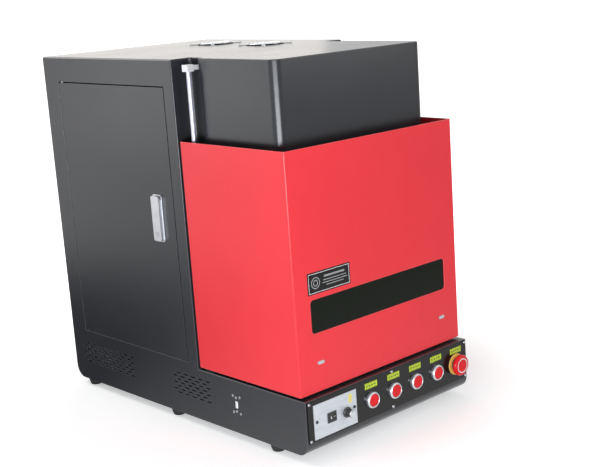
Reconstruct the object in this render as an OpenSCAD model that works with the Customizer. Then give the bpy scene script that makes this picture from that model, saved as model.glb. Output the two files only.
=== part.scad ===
// Desktop fibre laser marking machine in a closed sheet-metal housing.
// A full-width cabinet stands at the rear, a hood and a low base in front of it,
// and a U-shaped cover slides up two upright rods to open the work chamber.
// Origin: on the floor, under the middle of the housing.
// +X is to the right seen from the front, +Y to the rear, +Z up.  Millimetres.

/* [Housing] */
// Width across the two side walls
body_w = 420; // [410:2:450]
// Depth from the front wall to the rear wall
body_d = 710; // [700:2:760]
// Height of the housing above its feet
body_h = 666; // [656:2:720]
// Thickness of the housing sheet
sheet_t = 2; // [1.5:0.5:2.5]
// Height of the base from its underside to the work deck
base_h = 99; // [97:1:110]
// Depth of the base in front of the full-width rear cabinet
front_d = 289; // [280:1:300]
// Rounding of the base's lower front and rear edges
base_r = 24; // [16:1:26]
// Rounding along the long top edges
top_r = 4; // [3:0.5:8]
// Distance the hood's sides stand in from the side walls
hood_inset = 31; // [30:1:34]
// Depth of the hood in front of the cabinet
hood_d = 237; // [230:1:245]
// Height of the hood
hood_h = 180; // [160:2:200]
// Rounding of the hood's upright front corners
hood_r = 16; // [8:1:24]
// Width of the rod slot between cabinet and hood
slot_w = 39; // [37:1:42]
// Depth of the rod slot from the side wall
slot_depth = 43; // [41:1:50]

/* [Feet] */
// Height of a rubber foot
foot_h = 14; // [10:1:20]
// Diameter of a foot at its top
foot_d = 30; // [24:1:34]
// Distance of the feet from the side walls
foot_inset = 16; // [15:1:40]
// Distance of the front feet from the front wall
foot_front = 95; // [50:1:110]
// Distance of the rear feet from the rear wall
foot_rear = 41; // [40:1:110]

/* [Vents] */
// Length of a vent slot
vent_len = 14; // [8:1:16]
// Height of a vent slot
vent_h = 3; // [2:0.5:3.5]
// Distance between slots in a row
vent_pitch = 22; // [20:1:26]
// Distance between rows of slots
vent_row_pitch = 6.5; // [5:0.5:8]
// Number of rows
vent_rows = 7; // [4:1:8]
// Slots in a row of the rear group
vent_cols_rear = 8; // [4:1:8]
// Slots in a row of the front group
vent_cols_front = 5; // [3:1:5]

/* [Side door] */
// Gap around the door
door_gap = 2; // [1.5:0.25:3]
// Distance from the cabinet's front wall to the door
door_front = 30; // [24:1:40]
// Distance from the rear wall to the door
door_rear = 50; // [40:1:70]
// Distance from the deck's level to the door
door_bottom = 11; // [11:1:30]
// Distance from the top to the door
door_top = 50; // [40:1:80]
// Depth of the door's folded edges
door_fold = 12; // [10:0.5:12]
// Diameter of the hinge pins
hinge_d = 5; // [3:0.5:6]

/* [Door lock] */
// Length of the lock's lever
lever_length = 84; // [76:1:110]
// Width of the lock's lever
lever_w = 23; // [16:1:26]
// Thickness of the lock's lever
lever_t = 5.5; // [5.5:0.5:10]
// Thickness of the lock's plate
lock_plate_t = 2; // [1.5:0.5:4]
// Distance from the door's front edge to the lock's axis
lock_inset = 46; // [36:1:60]
// Height of the lock's axis above the door's lower edge
lock_z = 300; // [200:2:400]
// Length of the lock's cam from its axis
cam_l = 50; // [48:1:56]

/* [Cover] */
// Height of the sliding cover
cover_h = 419; // [405:1:430]
// Thickness of the cover's sheet
cover_t = 1.5; // [1:0.25:2]
// Distance the cover's sides stand in from the side walls
cover_inset = 3; // [2:0.5:4]
// Depth of the ledge in front of the cover
ledge_d = 13; // [8:1:20]
// Gap between the cover and the deck
cover_gap = 4; // [2:0.5:8]
// Gap between the cover's rear edges and the cabinet
cover_rear_gap = 4; // [2:0.5:6]
// Outer bend radius of the cover's upright corners
cover_r = 3; // [2.5:0.5:8]
// Travel of the cover
cover_travel = 240; // [200:5:240]
// Width of the window opening
window_w = 342; // [300:2:350]
// Height of the window opening
window_h = 59; // [40:1:70]
// Height of the window's centre above the cover's lower edge
window_z = 132.5; // [110:0.5:200]
// Corner radius of the window opening
window_r = 7; // [4:1:12]
// Thickness of the window pane
pane_t = 4; // [3:0.5:6]
// Overlap of the pane behind the window's edges
pane_lap = 9; // [5:1:10]

/* [Cover guides] */
// Diameter of a guide rod
rod_d = 8; // [6:0.5:8]
// Outer diameter of a linear bearing
bearing_d = 15; // [14:0.5:16]
// Length of a linear bearing
bearing_l = 24; // [20:1:28]
// Width and depth of a bearing block
block_w = 24; // [23:0.25:24]
// Width and depth of the block at a rod's top end
end_block = 15; // [14:0.5:18]
// Height of the block at a rod's top end
end_block_h = 12; // [10:0.5:14]
// Distance from the cabinet's front wall to the guide rods
rod_front = 27; // [26:0.5:28]
// Height of the block at a rod's foot
foot_block_h = 20; // [16:1:28]
// Height of the upper bearing above the deck
upper_bearing_z = 269; // [255:1:269]
// Outer diameter of a lift cylinder
lift_d = 12; // [10:0.5:12]
// Diameter of a lift rod
lift_rod_d = 5; // [4:0.5:6]

/* [Control panel] */
// Thickness of the control panel
panel_t = 2; // [1.5:0.5:3]
// Height of the control panel
panel_h = 73; // [68:1:73]
// Distance of the panel's ends from the side walls
panel_inset = 3; // [2:0.5:6]
// Distance of the panel's top edge below the deck's level
panel_drop = 1.5; // [1:0.5:3]
// Distance of the panel's screws from its edges
panel_screw_inset = 3.5; // [3.5:0.5:6]
// Head diameter of the small screws
screw_head_d = 5.5; // [5:0.5:6.5]
// Shank diameter of the small screws
screw_d = 3; // [2.5:0.5:4]
// Distance from the power module's plate to the first push button's axis
first_button = 39; // [36:1:48]
// Distance of the emergency stop's axis from the panel's right end
stop_inset = 30; // [28:1:34]
// Distance of the buttons' axis above the panel's lower edge
button_z = 33.5; // [30:0.5:36]
// Outer diameter of a push button's bezel
bezel_d = 29.5; // [26:0.5:32]
// Height of a push button's bezel
bezel_h = 7.5; // [6:0.5:10]
// Diameter of a push button's cap
button_cap_d = 22.6; // [20:0.2:23.6]
// Travel of a push button
button_travel = 3.5; // [2:0.5:3.5]
// Diameter of the panel's mounting holes
panel_hole_d = 22.2; // [22:0.2:24]
// Diameter of the emergency stop's head
stop_head_d = 40; // [32:1:44]
// Diameter of the yellow ring below the emergency stop
stop_ring_d = 41; // [36:1:48]
// Travel of the emergency stop
stop_travel = 3; // [3:0.5:4]
// Width of a label tag
tag_w = 31; // [24:1:36]
// Height of a label tag
tag_h = 11; // [8:1:12]

/* [Power module] */
// Width of the module's plate
module_w = 102; // [88:1:104]
// Height of the module's plate
module_h = 62; // [56:1:64]
// Thickness of the module's plate
module_t = 1.5; // [1:0.5:3]
// Distance from the panel's left end to the module
module_inset = 12; // [10:1:18]
// Width of the rocker switch's frame
rocker_w = 20; // [19:0.5:24]
// Height of the rocker switch's frame
rocker_h = 18; // [16:0.5:19]
// Diameter of the knob's skirt
knob_d = 19; // [16:0.5:22]
// Height of the knob
knob_h = 14; // [10:0.5:18]

/* [Fans] */
// Width of a fan's frame
fan_w = 80; // [76:1:92]
// Thickness of a fan's frame
fan_t = 25; // [20:1:30]
// Distance of the fans' axes from the machine's middle
fan_x = 90; // [80:1:105]
// Distance from the cabinet's middle forward to the middle of the two fans
fan_shift = 40.5; // [20:0.5:50]
// Distance between the two fans
fan_pitch = 156; // [120:1:170]
// Wire diameter of the fan guards
guard_wire = 2.4; // [1.6:0.2:3]

/* [Focus column] */
// Width of the column
column_w = 90; // [84:1:100]
// Depth of the column
column_d = 34; // [32:1:38]
// Height of the column above the deck
column_h = 527; // [500:1:540]
// Height of the carriage's lower edge above the deck at rest
carriage_z = 267; // [240:1:300]
// Height of the carriage
carriage_h = 100; // [90:1:110]
// Length of the rails
rail_l = 395; // [380:1:400]
// Diameter of the lead screw
lead_screw_d = 12; // [10:1:12]
// Size of the column's motor
motor_w = 42; // [38:1:42]
// Length of the column's motor
motor_h = 48; // [40:1:50]
// Width of the scan head
scan_w = 96; // [80:1:100]
// Height of the scan head
scan_h = 95; // [80:1:100]
// Length of the scan head, front to rear
scan_l = 108; // [90:1:112]
// Diameter of the focusing lens
lens_d = 84; // [60:1:90]
// Length of the focusing lens
lens_h = 45; // [30:1:50]
// Diameter of the beam expander
expander_d = 36; // [28:1:40]
// Length of the beam expander
expander_l = 106; // [80:1:110]

/* [Work table] */
// Width of the work table
table_w = 300; // [240:5:320]
// Depth of the work table
table_d = 180; // [140:5:190]
// Thickness of the work table
table_t = 12; // [10:1:20]
// Distance between the table's threaded holes, left to right
table_hole_x = 240; // [180:5:240]
// Distance between the table's threaded holes, front to rear
table_hole_y = 120; // [100:5:120]
// Diameter of the table's threaded holes
table_hole_d = 6; // [5:0.5:8]

/* [Cabinet contents] */
// Width of the laser source
laser_w = 260; // [220:5:280]
// Distance from the rear wall to the laser source
laser_rear = 35; // [30:1:60]
// Height of the laser source
laser_h = 84; // [60:1:86]
// Distance between the right side wall and the mounting plate
plate_off = 22; // [16:1:30]
// Length of the power supply, upright
supply_h = 215; // [180:5:230]
// Width of the power supply, front to rear
supply_w = 115; // [90:5:120]
// Thickness of the power supply
supply_t = 48; // [30:1:50]
// Height of the controller
control_h = 180; // [150:5:200]
// Distance between the power supply and the controller
control_gap = 55; // [40:1:60]
// Thickness of the controller
control_t = 44; // [30:1:50]
// Width of the power inlet
inlet_w = 48; // [44:1:54]
// Height of the power inlet
inlet_h = 28; // [24:1:32]

/* [Hidden] */

// Facets on round parts, and on small ones
fine = 64;
small = 32;
// How far a cut runs past the face that it opens
over = 1;
// Clearances: rod in bearing, resting gap, and a loose hole
run_gap = 0.05;
rest_gap = 0.3;
loose = 0.3;

// Colours
black_paint = "#2b2c2e";
red_paint = "#e8414b";
silver = "#d5d9de";
chrome = "#c9ccd6";
dark = "#1c1d1e";

// Planes of the housing; the controls stand out further at the front than the
// inlet does at the rear, so the housing's middle lies behind the origin
y_mid = 8;
x_side = body_w / 2;
y_front = y_mid - body_d / 2;
y_rear = y_mid + body_d / 2;
z_base = foot_h;
z_top = foot_h + body_h;
z_deck = foot_h + base_h;
cabinet_d = body_d - front_d;
y_cab = y_rear - cabinet_d;
x_hood = x_side - hood_inset;
y_hood = y_cab - hood_d;
z_hood = z_top - hood_h;
y_slot = y_cab - slot_w;
x_slot = x_side - slot_depth;
slot_fillet = slot_w / 5;

// Feet
x_foot = x_side - foot_inset;
y_foot_front = y_front + foot_front;
y_foot_rear = y_rear - foot_rear;
foot_ys = [y_foot_front, (y_foot_front + y_foot_rear) / 2, y_foot_rear];
foot_screw_r = 2.5;

// Vents
vent_z = z_base + base_r + 15;
y_vent_rear = y_rear - base_r - 12 - vent_cols_rear * vent_pitch;
y_vent_front = y_cab - 32;

// Door
y_door0 = y_cab + door_front;
y_door1 = y_rear - door_rear;
z_door0 = z_deck + door_bottom;
z_door1 = z_top - door_top;
hinge_set = 5;
x_hinge = x_side - hinge_set;
y_hinge = y_door1 - hinge_set;
frame_lap = 8;
frame_lip = 10;
x_lip = x_side - door_fold - 4;

// Lock
y_lock = y_door0 + lock_inset;
z_lock = z_door0 + lock_z;
lock_rim = 2;
lock_corner_r = 4;
lock_boss_r = 9;
spindle_r = 5;
cam_w = 16;
cam_t = 3;
x_cam = x_lip - sheet_t - 0.5;
x_lever = x_side + lock_plate_t + rest_gap;
lever_over = 8;
z_lever = z_lock + lever_over - lever_length / 2;
tilt_pin_r = 1;
tilt_r = 2;
x_tilt = x_lever + tilt_r + 0.2;
key_off = 12;

// Cover
x_cover = x_side - cover_inset;
y_cover = y_front + ledge_d;
y_cover_rear = y_cab - cover_rear_gap;
z_cover = z_deck + cover_gap;
z_window = z_cover + window_z;
plate_w = 100;
plate_h = 38;
plate_t = 0.8;
plate_x = -125;
z_plate = z_window + window_h / 2 + 9 + plate_h / 2;
fixing_x = 157;
z_fixing = z_cover + 51;
fixing_w = 15;
fixing_h = 6;
fixing_t = 2.5;
stiffener_h = 24;
stiffener_d = 12;

// Guides
x_rod = x_cover - cover_t - block_w / 2;
y_rod = y_cab - rod_front;
z_low_block = z_deck + foot_block_h + rest_gap;
z_up_block = z_deck + upper_bearing_z;
bracket_t = 4;
z_bracket = z_up_block - bracket_t;
x_lift = x_slot + lift_d / 2 + 1.5;
y_lift = y_cab - lift_d / 2 - 8;
lift_top = z_bracket - 4;
lift_cap_t = 4;
lift_foot_t = 4;
piston_t = 4;
piston_gap = 2;
piston_z = lift_top - lift_cap_t - cover_travel - piston_t - piston_gap;
lift_bore_r = lift_d / 2 - 2;
z_end_block = z_top - 10 - end_block_h;

// Control panel
y_panel = y_front - panel_t;
x_panel = x_side - panel_inset;
z_panel1 = z_deck - panel_drop;
z_panel0 = z_panel1 - panel_h;
z_button = z_panel0 + button_z;
z_tag = z_panel1 - panel_screw_inset - screw_head_d / 2 - tag_h / 2 - 0.5;
panel_cut_margin = 11;
bezel_wall = 3;
bezel_floor = 0.5;
barrel_r = panel_hole_d / 2 - 0.1;
barrel_bore_r = barrel_r - 2.5;
barrel_l = 24;
cap_t = 3;
contact_l = 26;
contact_w = 30;
contact_h = 22;
stem_r = 3;

// Emergency stop
stop_ring_t = 2;
stop_collar_t = 1.5;
stop_collar_r = 14;
stop_head_t = 10;
stop_stem_r = 6;
y_stop_ring = y_panel - stop_ring_t;
y_stop_collar = y_stop_ring - stop_collar_t;
y_stop_head = y_stop_collar - stop_travel - 0.5;

// Power module
x_module = -x_panel + module_inset + module_w / 2;
z_module = z_panel0 + panel_h / 2 - 2;
y_module = y_panel - module_t;
x_rocker = x_module - 10;
z_rocker = z_module - 1;
rocker_frame_t = 2;
rocker_body_l = 16;
rocker_gap = 0.4;
rocker_tilt = 8;
x_knob = x_module + 26;
z_knob = z_module - 4;
pot_r = 8;
pot_l = 10;
pot_shaft_r = 3;
module_screw_x = module_w / 2 - 6;

// Push buttons in a row between the module and the emergency stop
x_stop = x_panel - stop_inset;
button_x = x_module + module_w / 2 + first_button;
button_pitch = (x_stop + 1 - button_x) / 4;
button_xs = [for (i = [0:3]) button_x + i * button_pitch];

// Fans
fan_mid = (y_cab + y_rear) / 2 - fan_shift;
fan_ys = [fan_mid + fan_pitch / 2, fan_mid - fan_pitch / 2];
fan_bore_r = fan_w / 2 - 3;
fan_hub_r = 16;
fan_blade_w = 18;
fan_hole_inset = 4.25;
z_fan = z_top - sheet_t - fan_t;
fan_screw = fan_w / 2 - fan_hole_inset;

// Focus column
column_web = 8;
column_wall = 10;
y_column = y_cab;
y_rail = y_column - column_d;
rail_t = 8;
screw_off = 30;
y_screw = y_column - screw_off;
y_carriage = y_rail - rail_t - 8 - rest_gap;
carriage_t = 10;
runner_l = 34;
z_carriage0 = z_deck + carriage_z;
z_column_top = z_deck + column_h;
z_rail = z_deck + 117;
z_motor0 = z_deck + 7;
z_motor_plate = z_motor0 + motor_h;
motor_plate_t = 6;
bearing_rise = 40;
z_bearing_plate = z_motor_plate + bearing_rise;
bearing_plate_t = 10;
screw_end_gap = 4;
motor_shaft_r = 2.5;
motor_shaft_l = 18;
z_coupler = z_motor_plate + motor_plate_t + 5;
coupler_l = 25;
coupler_r = 9.5;
lead_screw_r = lead_screw_d / 2;
y_arm = y_carriage - carriage_t;
arm_t = 10;
z_arm = z_carriage0 + carriage_h - 30;
scan_gap = 16.7;
y_scan = y_hood + scan_gap + scan_l;
arm_l = y_arm - y_hood - scan_gap;
z_scan = z_arm - scan_h;
y_beam = y_scan - scan_l / 2;
z_beam = z_scan + scan_h / 2;

// Work table
y_table = y_beam;

// Cabinet contents
z_inside = z_base + sheet_t;
x_plate = x_side - sheet_t - plate_off;
plate_y0 = y_cab + 36;
plate_y1 = y_rear - 25;
z_plate0 = z_deck + 17;
z_plate1 = z_top - 40;
standoff_r = 5;
standoff_inset = 20;
laser_foot_h = 10;
laser_front = 6;
laser_l = cabinet_d - laser_front - laser_rear;
control_inset = 20;
control_w = plate_y1 - plate_y0 - 2 * control_inset - supply_w - control_gap;

// Rear panel
x_rear_cut = x_side - 30;
z_rear_cut0 = z_base + 46;
z_rear_cut1 = z_top - 40;
rear_lap = 10;
y_rear_panel = y_rear;
x_inlet = 110;
z_inlet = z_rear_cut0 + 40;

// ---------- helpers ----------

// Box between two corners
module block(lo, hi) {
    translate(lo) cube(hi - lo);
}

// Cylinder along X, Y or Z from a start point
module rod_x_axis(r, start, l, n = fine) {
    translate(start) rotate([0, 90, 0]) cylinder(r = r, h = l, $fn = n);
}
module rod_y_axis(r, start, l, n = fine) {
    translate(start) rotate([-90, 0, 0]) cylinder(r = r, h = l, $fn = n);
}
module rod_z_axis(r, start, l, n = fine) {
    translate(start) cylinder(r = r, h = l, $fn = n);
}

// The same shape on the left and on the right
module both_sides() {
    children();
    mirror([1, 0, 0]) children();
}

// Flat outline in X and Y drawn as a rectangle with round corners
module round_rect(w, h, r) {
    square([w - 2 * r, h], center = true);
    square([w, h - 2 * r], center = true);
    for (x = [-1, 1], y = [-1, 1])
        translate([x * (w / 2 - r), y * (h / 2 - r)]) circle(r, $fn = small);
}

// Outline in X and Z pushed along Y, from y towards the rear by l
module slab_y(y, l) {
    translate([0, y + l, 0]) rotate([90, 0, 0]) linear_extrude(l) children();
}

// Screw with a round head, pointing towards +Y from a face at y
module screw_y(x, y, z, l) {
    rod_y_axis(screw_head_d / 2, [x, y - 2, z], 2, small);
    rod_y_axis(screw_d / 2, [x, y - over, z], l + over, small);
}

// ---------- housing ----------

// L-shaped side outline in Y and Z, drawn g inside the housing's faces
module side_outline(g) {
    translate([y_front + g, z_base + base_r]) square([body_d - 2 * g, base_h - base_r - g]);
    translate([y_front + base_r, z_base + g]) square([body_d - 2 * base_r, base_h - 2 * g]);
    for (y = [y_front + base_r, y_rear - base_r])
        translate([y, z_base + base_r]) circle(base_r - g, $fn = fine);
    translate([y_cab + g, z_base + base_r]) square([cabinet_d - 2 * g, body_h - base_r - g]);
}

// Outline across the housing in X and Z, with rounded top edges
module cross_outline(g) {
    translate([-x_side + g, z_base]) square([body_w - 2 * g, body_h - top_r]);
    translate([-x_side + top_r, z_base]) square([body_w - 2 * top_r, body_h - g]);
    for (s = [-1, 1])
        translate([s * (x_side - top_r), z_top - top_r]) circle(max(top_r - g, 0.5), $fn = fine);
}

module housing_block(g) {
    intersection() {
        translate([-x_side, 0, 0]) rotate([90, 0, 90]) linear_extrude(body_w) side_outline(g);
        slab_y(y_front, body_d) cross_outline(g);
    }
}

// Plan of the hood in X and Y
module hood_plan(g, rear) {
    translate([-x_hood + g, y_hood + hood_r]) square([2 * (x_hood - g), y_slot - g - y_hood - hood_r]);
    translate([-x_hood + hood_r, y_hood + g]) square([2 * (x_hood - hood_r), hood_r]);
    for (s = [-1, 1])
        translate([s * (x_hood - hood_r), y_hood + hood_r]) circle(hood_r - g, $fn = fine);
    translate([-x_slot + g, y_hood + hood_r]) square([2 * (x_slot - g), rear - y_hood - hood_r]);
}

// Round inner corners of the rod slots
module slot_corners() {
    for (s = [-1, 1], y = [y_cab, y_slot])
        difference() {
            translate([s * (x_slot + slot_fillet / 2), y + (y == y_cab ? -1 : 1) * slot_fillet / 2])
                square(slot_fillet, center = true);
            translate([s * (x_slot + slot_fillet), y + (y == y_cab ? -1 : 1) * slot_fillet])
                circle(slot_fillet, $fn = small);
        }
}

// One group of vent slots in Y and Z
module vent_group(y0, cols) {
    for (row = [0:vent_rows - 1], col = [0:cols - 1])
        translate([y0 + col * vent_pitch + (row % 2) * vent_pitch / 2, vent_z + row * vent_row_pitch])
            square([vent_len, vent_h]);
}

// Slots in both side panels
module side_vents() {
    vent_group(y_vent_rear, vent_cols_rear);
    vent_group(y_vent_front, vent_cols_front);
}

// Hole in the left side panel for the door, drawn g outside the door
module door_opening(g) {
    translate([y_door0 - g, z_door0 - g]) square([y_door1 - y_door0 + 2 * g, z_door1 - z_door0 + 2 * g]);
}

// Cut behind the control panel
module panel_opening() {
    block([-x_panel + panel_cut_margin, y_front - over, z_panel0 + panel_cut_margin],
          [x_panel - panel_cut_margin, y_front + sheet_t + over, z_panel1 - panel_cut_margin]);
}

panel_screw_zs = [z_panel0 + panel_screw_inset, z_panel1 - panel_screw_inset];
panel_screw_places = [for (x = [-1, 0, 1], z = panel_screw_zs) [x * (x_panel - panel_screw_inset), z]];

side_fix_off = 183;
side_fix_rise = 54;
side_fix_y = y_front + side_fix_off;
side_fix_z = z_base + side_fix_rise;
side_fix_places = [[-9.5, -15.5], [9.5, -15.5], [-9.5, 15.5], [9.5, 15.5], [1, -13], [1, 13]];
side_fix_r = 1.5;
side_slot_w = 6;
side_slot_h = 13;
port_r = 15;
x_port = column_w / 2 + 40;
z_port = z_hood + 60;

// Side panels, up to where the top's long edges start to round
module side_panels() {
    color(black_paint) for (s = [-1, 1])
        translate([s > 0 ? x_side - sheet_t : -x_side, 0, 0]) rotate([90, 0, 90])
            linear_extrude(sheet_t) difference() {
                side_outline(0);
                translate([y_front, z_top - top_r]) square([body_d, top_r + over]);
                side_vents();
                if (s < 0) {
                    door_opening(door_gap);
                    fixing_holes();
                }
            }
}

// Holes of the fixings on the base's left side
module fixing_holes() {
    translate([side_fix_y, side_fix_z]) {
        for (p = side_fix_places)
            translate(p) circle(side_fix_r + loose, $fn = small);
        square([side_slot_w + 2 * loose, side_slot_h + 2 * loose], center = true);
    }
}

// Floor, front, deck, cabinet front, top and rear, welded in between the side panels
module enclosure() {
    color(black_paint) difference() {
        housing_block(0);
        housing_block(sheet_t);
        both_sides() block([x_side - sheet_t, y_front - over, z_base - over],
                           [x_side + over, y_rear + over, z_top - top_r]);
        panel_opening();
        // rear service opening
        block([-x_rear_cut, y_rear - sheet_t - over, z_rear_cut0],
              [x_rear_cut, y_rear + over, z_rear_cut1]);
        // fan openings
        for (y = fan_ys) rod_z_axis(fan_bore_r, [fan_x, y, z_top - sheet_t - over], sheet_t + 2 * over);
        // screw holes for the feet
        for (s = [-1, 1], y = foot_ys)
            rod_z_axis(foot_screw_r + loose, [s * x_foot, y, z_base - over], sheet_t + 2 * over, small);
        // screw holes for the control panel
        for (p = panel_screw_places)
            rod_y_axis(screw_d / 2 + loose, [p[0], y_front - over, p[1]], sheet_t + 2 * over, small);
        // fibre port from the cabinet into the hood
        rod_y_axis(port_r, [x_port, y_cab - over, z_port], sheet_t + 2 * over);
    }
}

// Hood in front of the cabinet, open below and at its back, with the inner walls of the rod slots
module hood_shell() {
    color(black_paint) difference() {
        translate([0, 0, z_hood]) linear_extrude(hood_h) {
            hood_plan(0, y_cab);
            slot_corners();
        }
        translate([0, 0, z_hood - over]) linear_extrude(hood_h - sheet_t + over)
            hood_plan(sheet_t, y_cab + over);
    }
}

module rear_panel() {
    color(black_paint) difference() {
        block([-x_rear_cut - rear_lap, y_rear_panel, z_rear_cut0 - rear_lap],
              [x_rear_cut + rear_lap, y_rear_panel + sheet_t, z_rear_cut1 + rear_lap]);
        block([x_inlet - inlet_w / 2, y_rear_panel - over, z_inlet - inlet_h / 2],
              [x_inlet + inlet_w / 2, y_rear_panel + sheet_t + over, z_inlet + inlet_h / 2]);
        for (row = [0:7], col = [0:5])
            translate([-x_rear_cut + 20 + col * 22, y_rear_panel - over, z_inlet - inlet_h / 2 + row * 8])
                cube([14, sheet_t + 2 * over, 3]);
    }
}

module feet() {
    color(dark) for (s = [-1, 1], y = foot_ys)
        difference() {
            translate([s * x_foot, y, 0])
                cylinder(r1 = foot_d / 2 - 4, r2 = foot_d / 2, h = foot_h, $fn = fine);
            rod_z_axis(foot_screw_r + loose, [s * x_foot, y, -over], foot_h + 2 * over, small);
            rod_z_axis(2 * foot_screw_r, [s * x_foot, y, -over], 5 + over, small);
        }
}

module side_fixings() {
    color(silver) {
        for (p = side_fix_places) {
            rod_x_axis(side_fix_r + 1, [-x_side - 1, side_fix_y + p[0], side_fix_z + p[1]], 1, small);
            rod_x_axis(side_fix_r, [-x_side - 0.5, side_fix_y + p[0], side_fix_z + p[1]],
                       sheet_t + 4.5, small);
        }
        block([-x_side - 1, side_fix_y - side_slot_w / 2, side_fix_z - side_slot_h / 2],
              [-x_side + sheet_t + 6, side_fix_y + side_slot_w / 2, side_fix_z + side_slot_h / 2]);
        // plate behind the wall that the fixings hold
        difference() {
            block([-x_side + sheet_t, side_fix_y - 16, side_fix_z - 22],
                  [-x_side + sheet_t + 3, side_fix_y + 16, side_fix_z + 22]);
            block([-x_side, side_fix_y - side_slot_w / 2 - 0.5, side_fix_z - side_slot_h / 2 - 0.5],
                  [-x_side + sheet_t + 5, side_fix_y + side_slot_w / 2 + 0.5,
                   side_fix_z + side_slot_h / 2 + 0.5]);
            for (p = side_fix_places)
                rod_x_axis(side_fix_r + loose, [-x_side, side_fix_y + p[0], side_fix_z + p[1]], 10, small);
        }
    }
}

// ---------- side door ----------

module door() {
    color(black_paint) difference() {
        block([-x_side, y_door0, z_door0], [-x_side + door_fold, y_door1, z_door1]);
        block([-x_side + sheet_t, y_door0 + sheet_t, z_door0 + sheet_t],
              [-x_side + door_fold + over, y_door1 - sheet_t, z_door1 - sheet_t]);
        // pivot holes in the upper and lower folds
        for (z = [z_door0 - over, z_door1 - sheet_t - over])
            rod_z_axis(hinge_d / 2 + run_gap, [-x_hinge, y_hinge, z], sheet_t + 2 * over, small);
        // lock hole
        rod_x_axis(lock_boss_r + run_gap, [-x_side - over, y_lock, z_lock], sheet_t + 2 * over);
    }
}

// Folded frame behind the door opening that the door closes against
module door_frame() {
    g = door_gap;
    color(black_paint) difference() {
        block([-x_side + sheet_t, y_door0 - g - frame_lap - sheet_t, z_door0 - g - frame_lap - sheet_t],
              [-x_lip + sheet_t, y_door1 + g + frame_lap + sheet_t, z_door1 + g + frame_lap + sheet_t]);
        block([-x_side, y_door0 - g - frame_lap, z_door0 - g - frame_lap],
              [-x_lip, y_door1 + g + frame_lap, z_door1 + g + frame_lap]);
        block([-x_side, y_door0 - g + frame_lip, z_door0 - g + frame_lip],
              [-x_lip + 2 * sheet_t, y_door1 + g - frame_lip, z_door1 + g - frame_lip]);
    }
}

module hinge_pins() {
    pin_out = door_gap + frame_lap;
    color(silver) {
        rod_z_axis(hinge_d / 2, [-x_hinge, y_hinge, z_door0 - pin_out], pin_out + 4, small);
        rod_z_axis(hinge_d / 2, [-x_hinge, y_hinge, z_door1 - 4], pin_out + 4, small);
    }
}

// Upright plate with round corners on the left side, x0 outwards of the side's face
module lock_slab(w, l, x0, t) {
    translate([-x0 - t, y_lock, z_lever]) rotate([90, 0, 90]) linear_extrude(t)
        round_rect(w, l, lock_corner_r);
}

module lock_plate() {
    color(silver) difference() {
        union() {
            lock_slab(lever_w + 2 * lock_rim, lever_length + 2 * lock_rim, x_side, lock_plate_t);
            // barrel through the door
            rod_x_axis(lock_boss_r, [-x_side - 0.5, y_lock, z_lock], x_side - x_cam - 3);
        }
        rod_x_axis(spindle_r + run_gap, [-x_side - lock_plate_t - over, y_lock, z_lock], 40);
    }
}

// Spindle with the cam that turns in behind the door frame; at rest the cam stands upright
module lock_rotor() {
    color(silver) difference() {
        union() {
            rod_x_axis(spindle_r, [-x_lever, y_lock, z_lock], x_lever - x_cam + cam_t);
            // ear that carries the lever
            rod_y_axis(tilt_r, [-x_tilt, y_lock - 3, z_lock], 6, small);
            block([-x_tilt, y_lock - 3, z_lock - tilt_r],
                  [-x_lever + over, y_lock + 3, z_lock + tilt_r]);
            // cam
            block([-x_cam, y_lock - cam_w / 2, z_lock - cam_w / 2],
                  [-x_cam + cam_t, y_lock + cam_w / 2, z_lock + cam_l]);
        }
        rod_y_axis(tilt_pin_r + run_gap, [-x_tilt, y_lock - 10, z_lock], 20, small);
    }
}

// Pull-out lever with its tilt pin and the face of a key cylinder
module lock_lever() {
    z_key = z_lever - lever_length / 2 + key_off;
    color(silver) {
        difference() {
            lock_slab(lever_w, lever_length, x_lever, lever_t);
            // pocket for the ear
            block([-x_tilt - tilt_r - 0.4, y_lock - 3.3, z_lock - tilt_r - 4],
                  [-x_lever + over, y_lock + 3.3, z_lock + tilt_r + 1]);
            // relief above the pin, so that the lever can tilt
            block([-x_tilt, y_lock - lever_w, z_lock],
                  [-x_lever + over, y_lock + lever_w, z_lock + lever_over + over]);
            // ring around the key cylinder and its key slot
            difference() {
                rod_x_axis(5, [-x_lever - lever_t - over, y_lock, z_key], over + 1, small);
                rod_x_axis(4, [-x_lever - lever_t - 2 * over, y_lock, z_key], 3 * over + 1, small);
            }
            block([-x_lever - lever_t - over, y_lock - 0.6, z_key - 2.5],
                  [-x_lever - lever_t + 2, y_lock + 0.6, z_key + 2.5]);
        }
        rod_y_axis(tilt_pin_r, [-x_tilt, y_lock - lever_w / 2 + 1, z_lock], lever_w - 2, small);
    }
}

// ---------- sliding cover ----------

module cover_outline(g, rear) {
    translate([-x_cover + g, y_cover + cover_r]) square([2 * (x_cover - g), rear - y_cover - cover_r]);
    translate([-x_cover + cover_r, y_cover + g]) square([2 * (x_cover - cover_r), cover_r]);
    for (s = [-1, 1])
        translate([s * (x_cover - cover_r), y_cover + cover_r]) circle(cover_r - g, $fn = small);
}

module cover() {
    color(red_paint) difference() {
        translate([0, 0, z_cover]) linear_extrude(cover_h) cover_outline(0, y_cover_rear);
        translate([0, 0, z_cover - over]) linear_extrude(cover_h + 2 * over)
            cover_outline(cover_t, y_cover_rear + over);
        slab_y(y_cover - over, cover_t + 2 * over) translate([0, z_window])
            round_rect(window_w, window_h, window_r);
        for (s = [-1, 1])
            rod_y_axis(screw_d / 2 + loose, [s * fixing_x, y_cover - over, z_fixing],
                       cover_t + 2 * over, small);
    }
}

module cover_window() {
    color("#262b22") slab_y(y_cover + cover_t, pane_t) translate([0, z_window])
        square([window_w + 2 * pane_lap, window_h + 2 * pane_lap], center = true);
}

module cover_plate() {
    color(dark) block([plate_x - plate_w / 2, y_cover - plate_t, z_plate - plate_h / 2],
                      [plate_x + plate_w / 2, y_cover, z_plate + plate_h / 2]);
}

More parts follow.
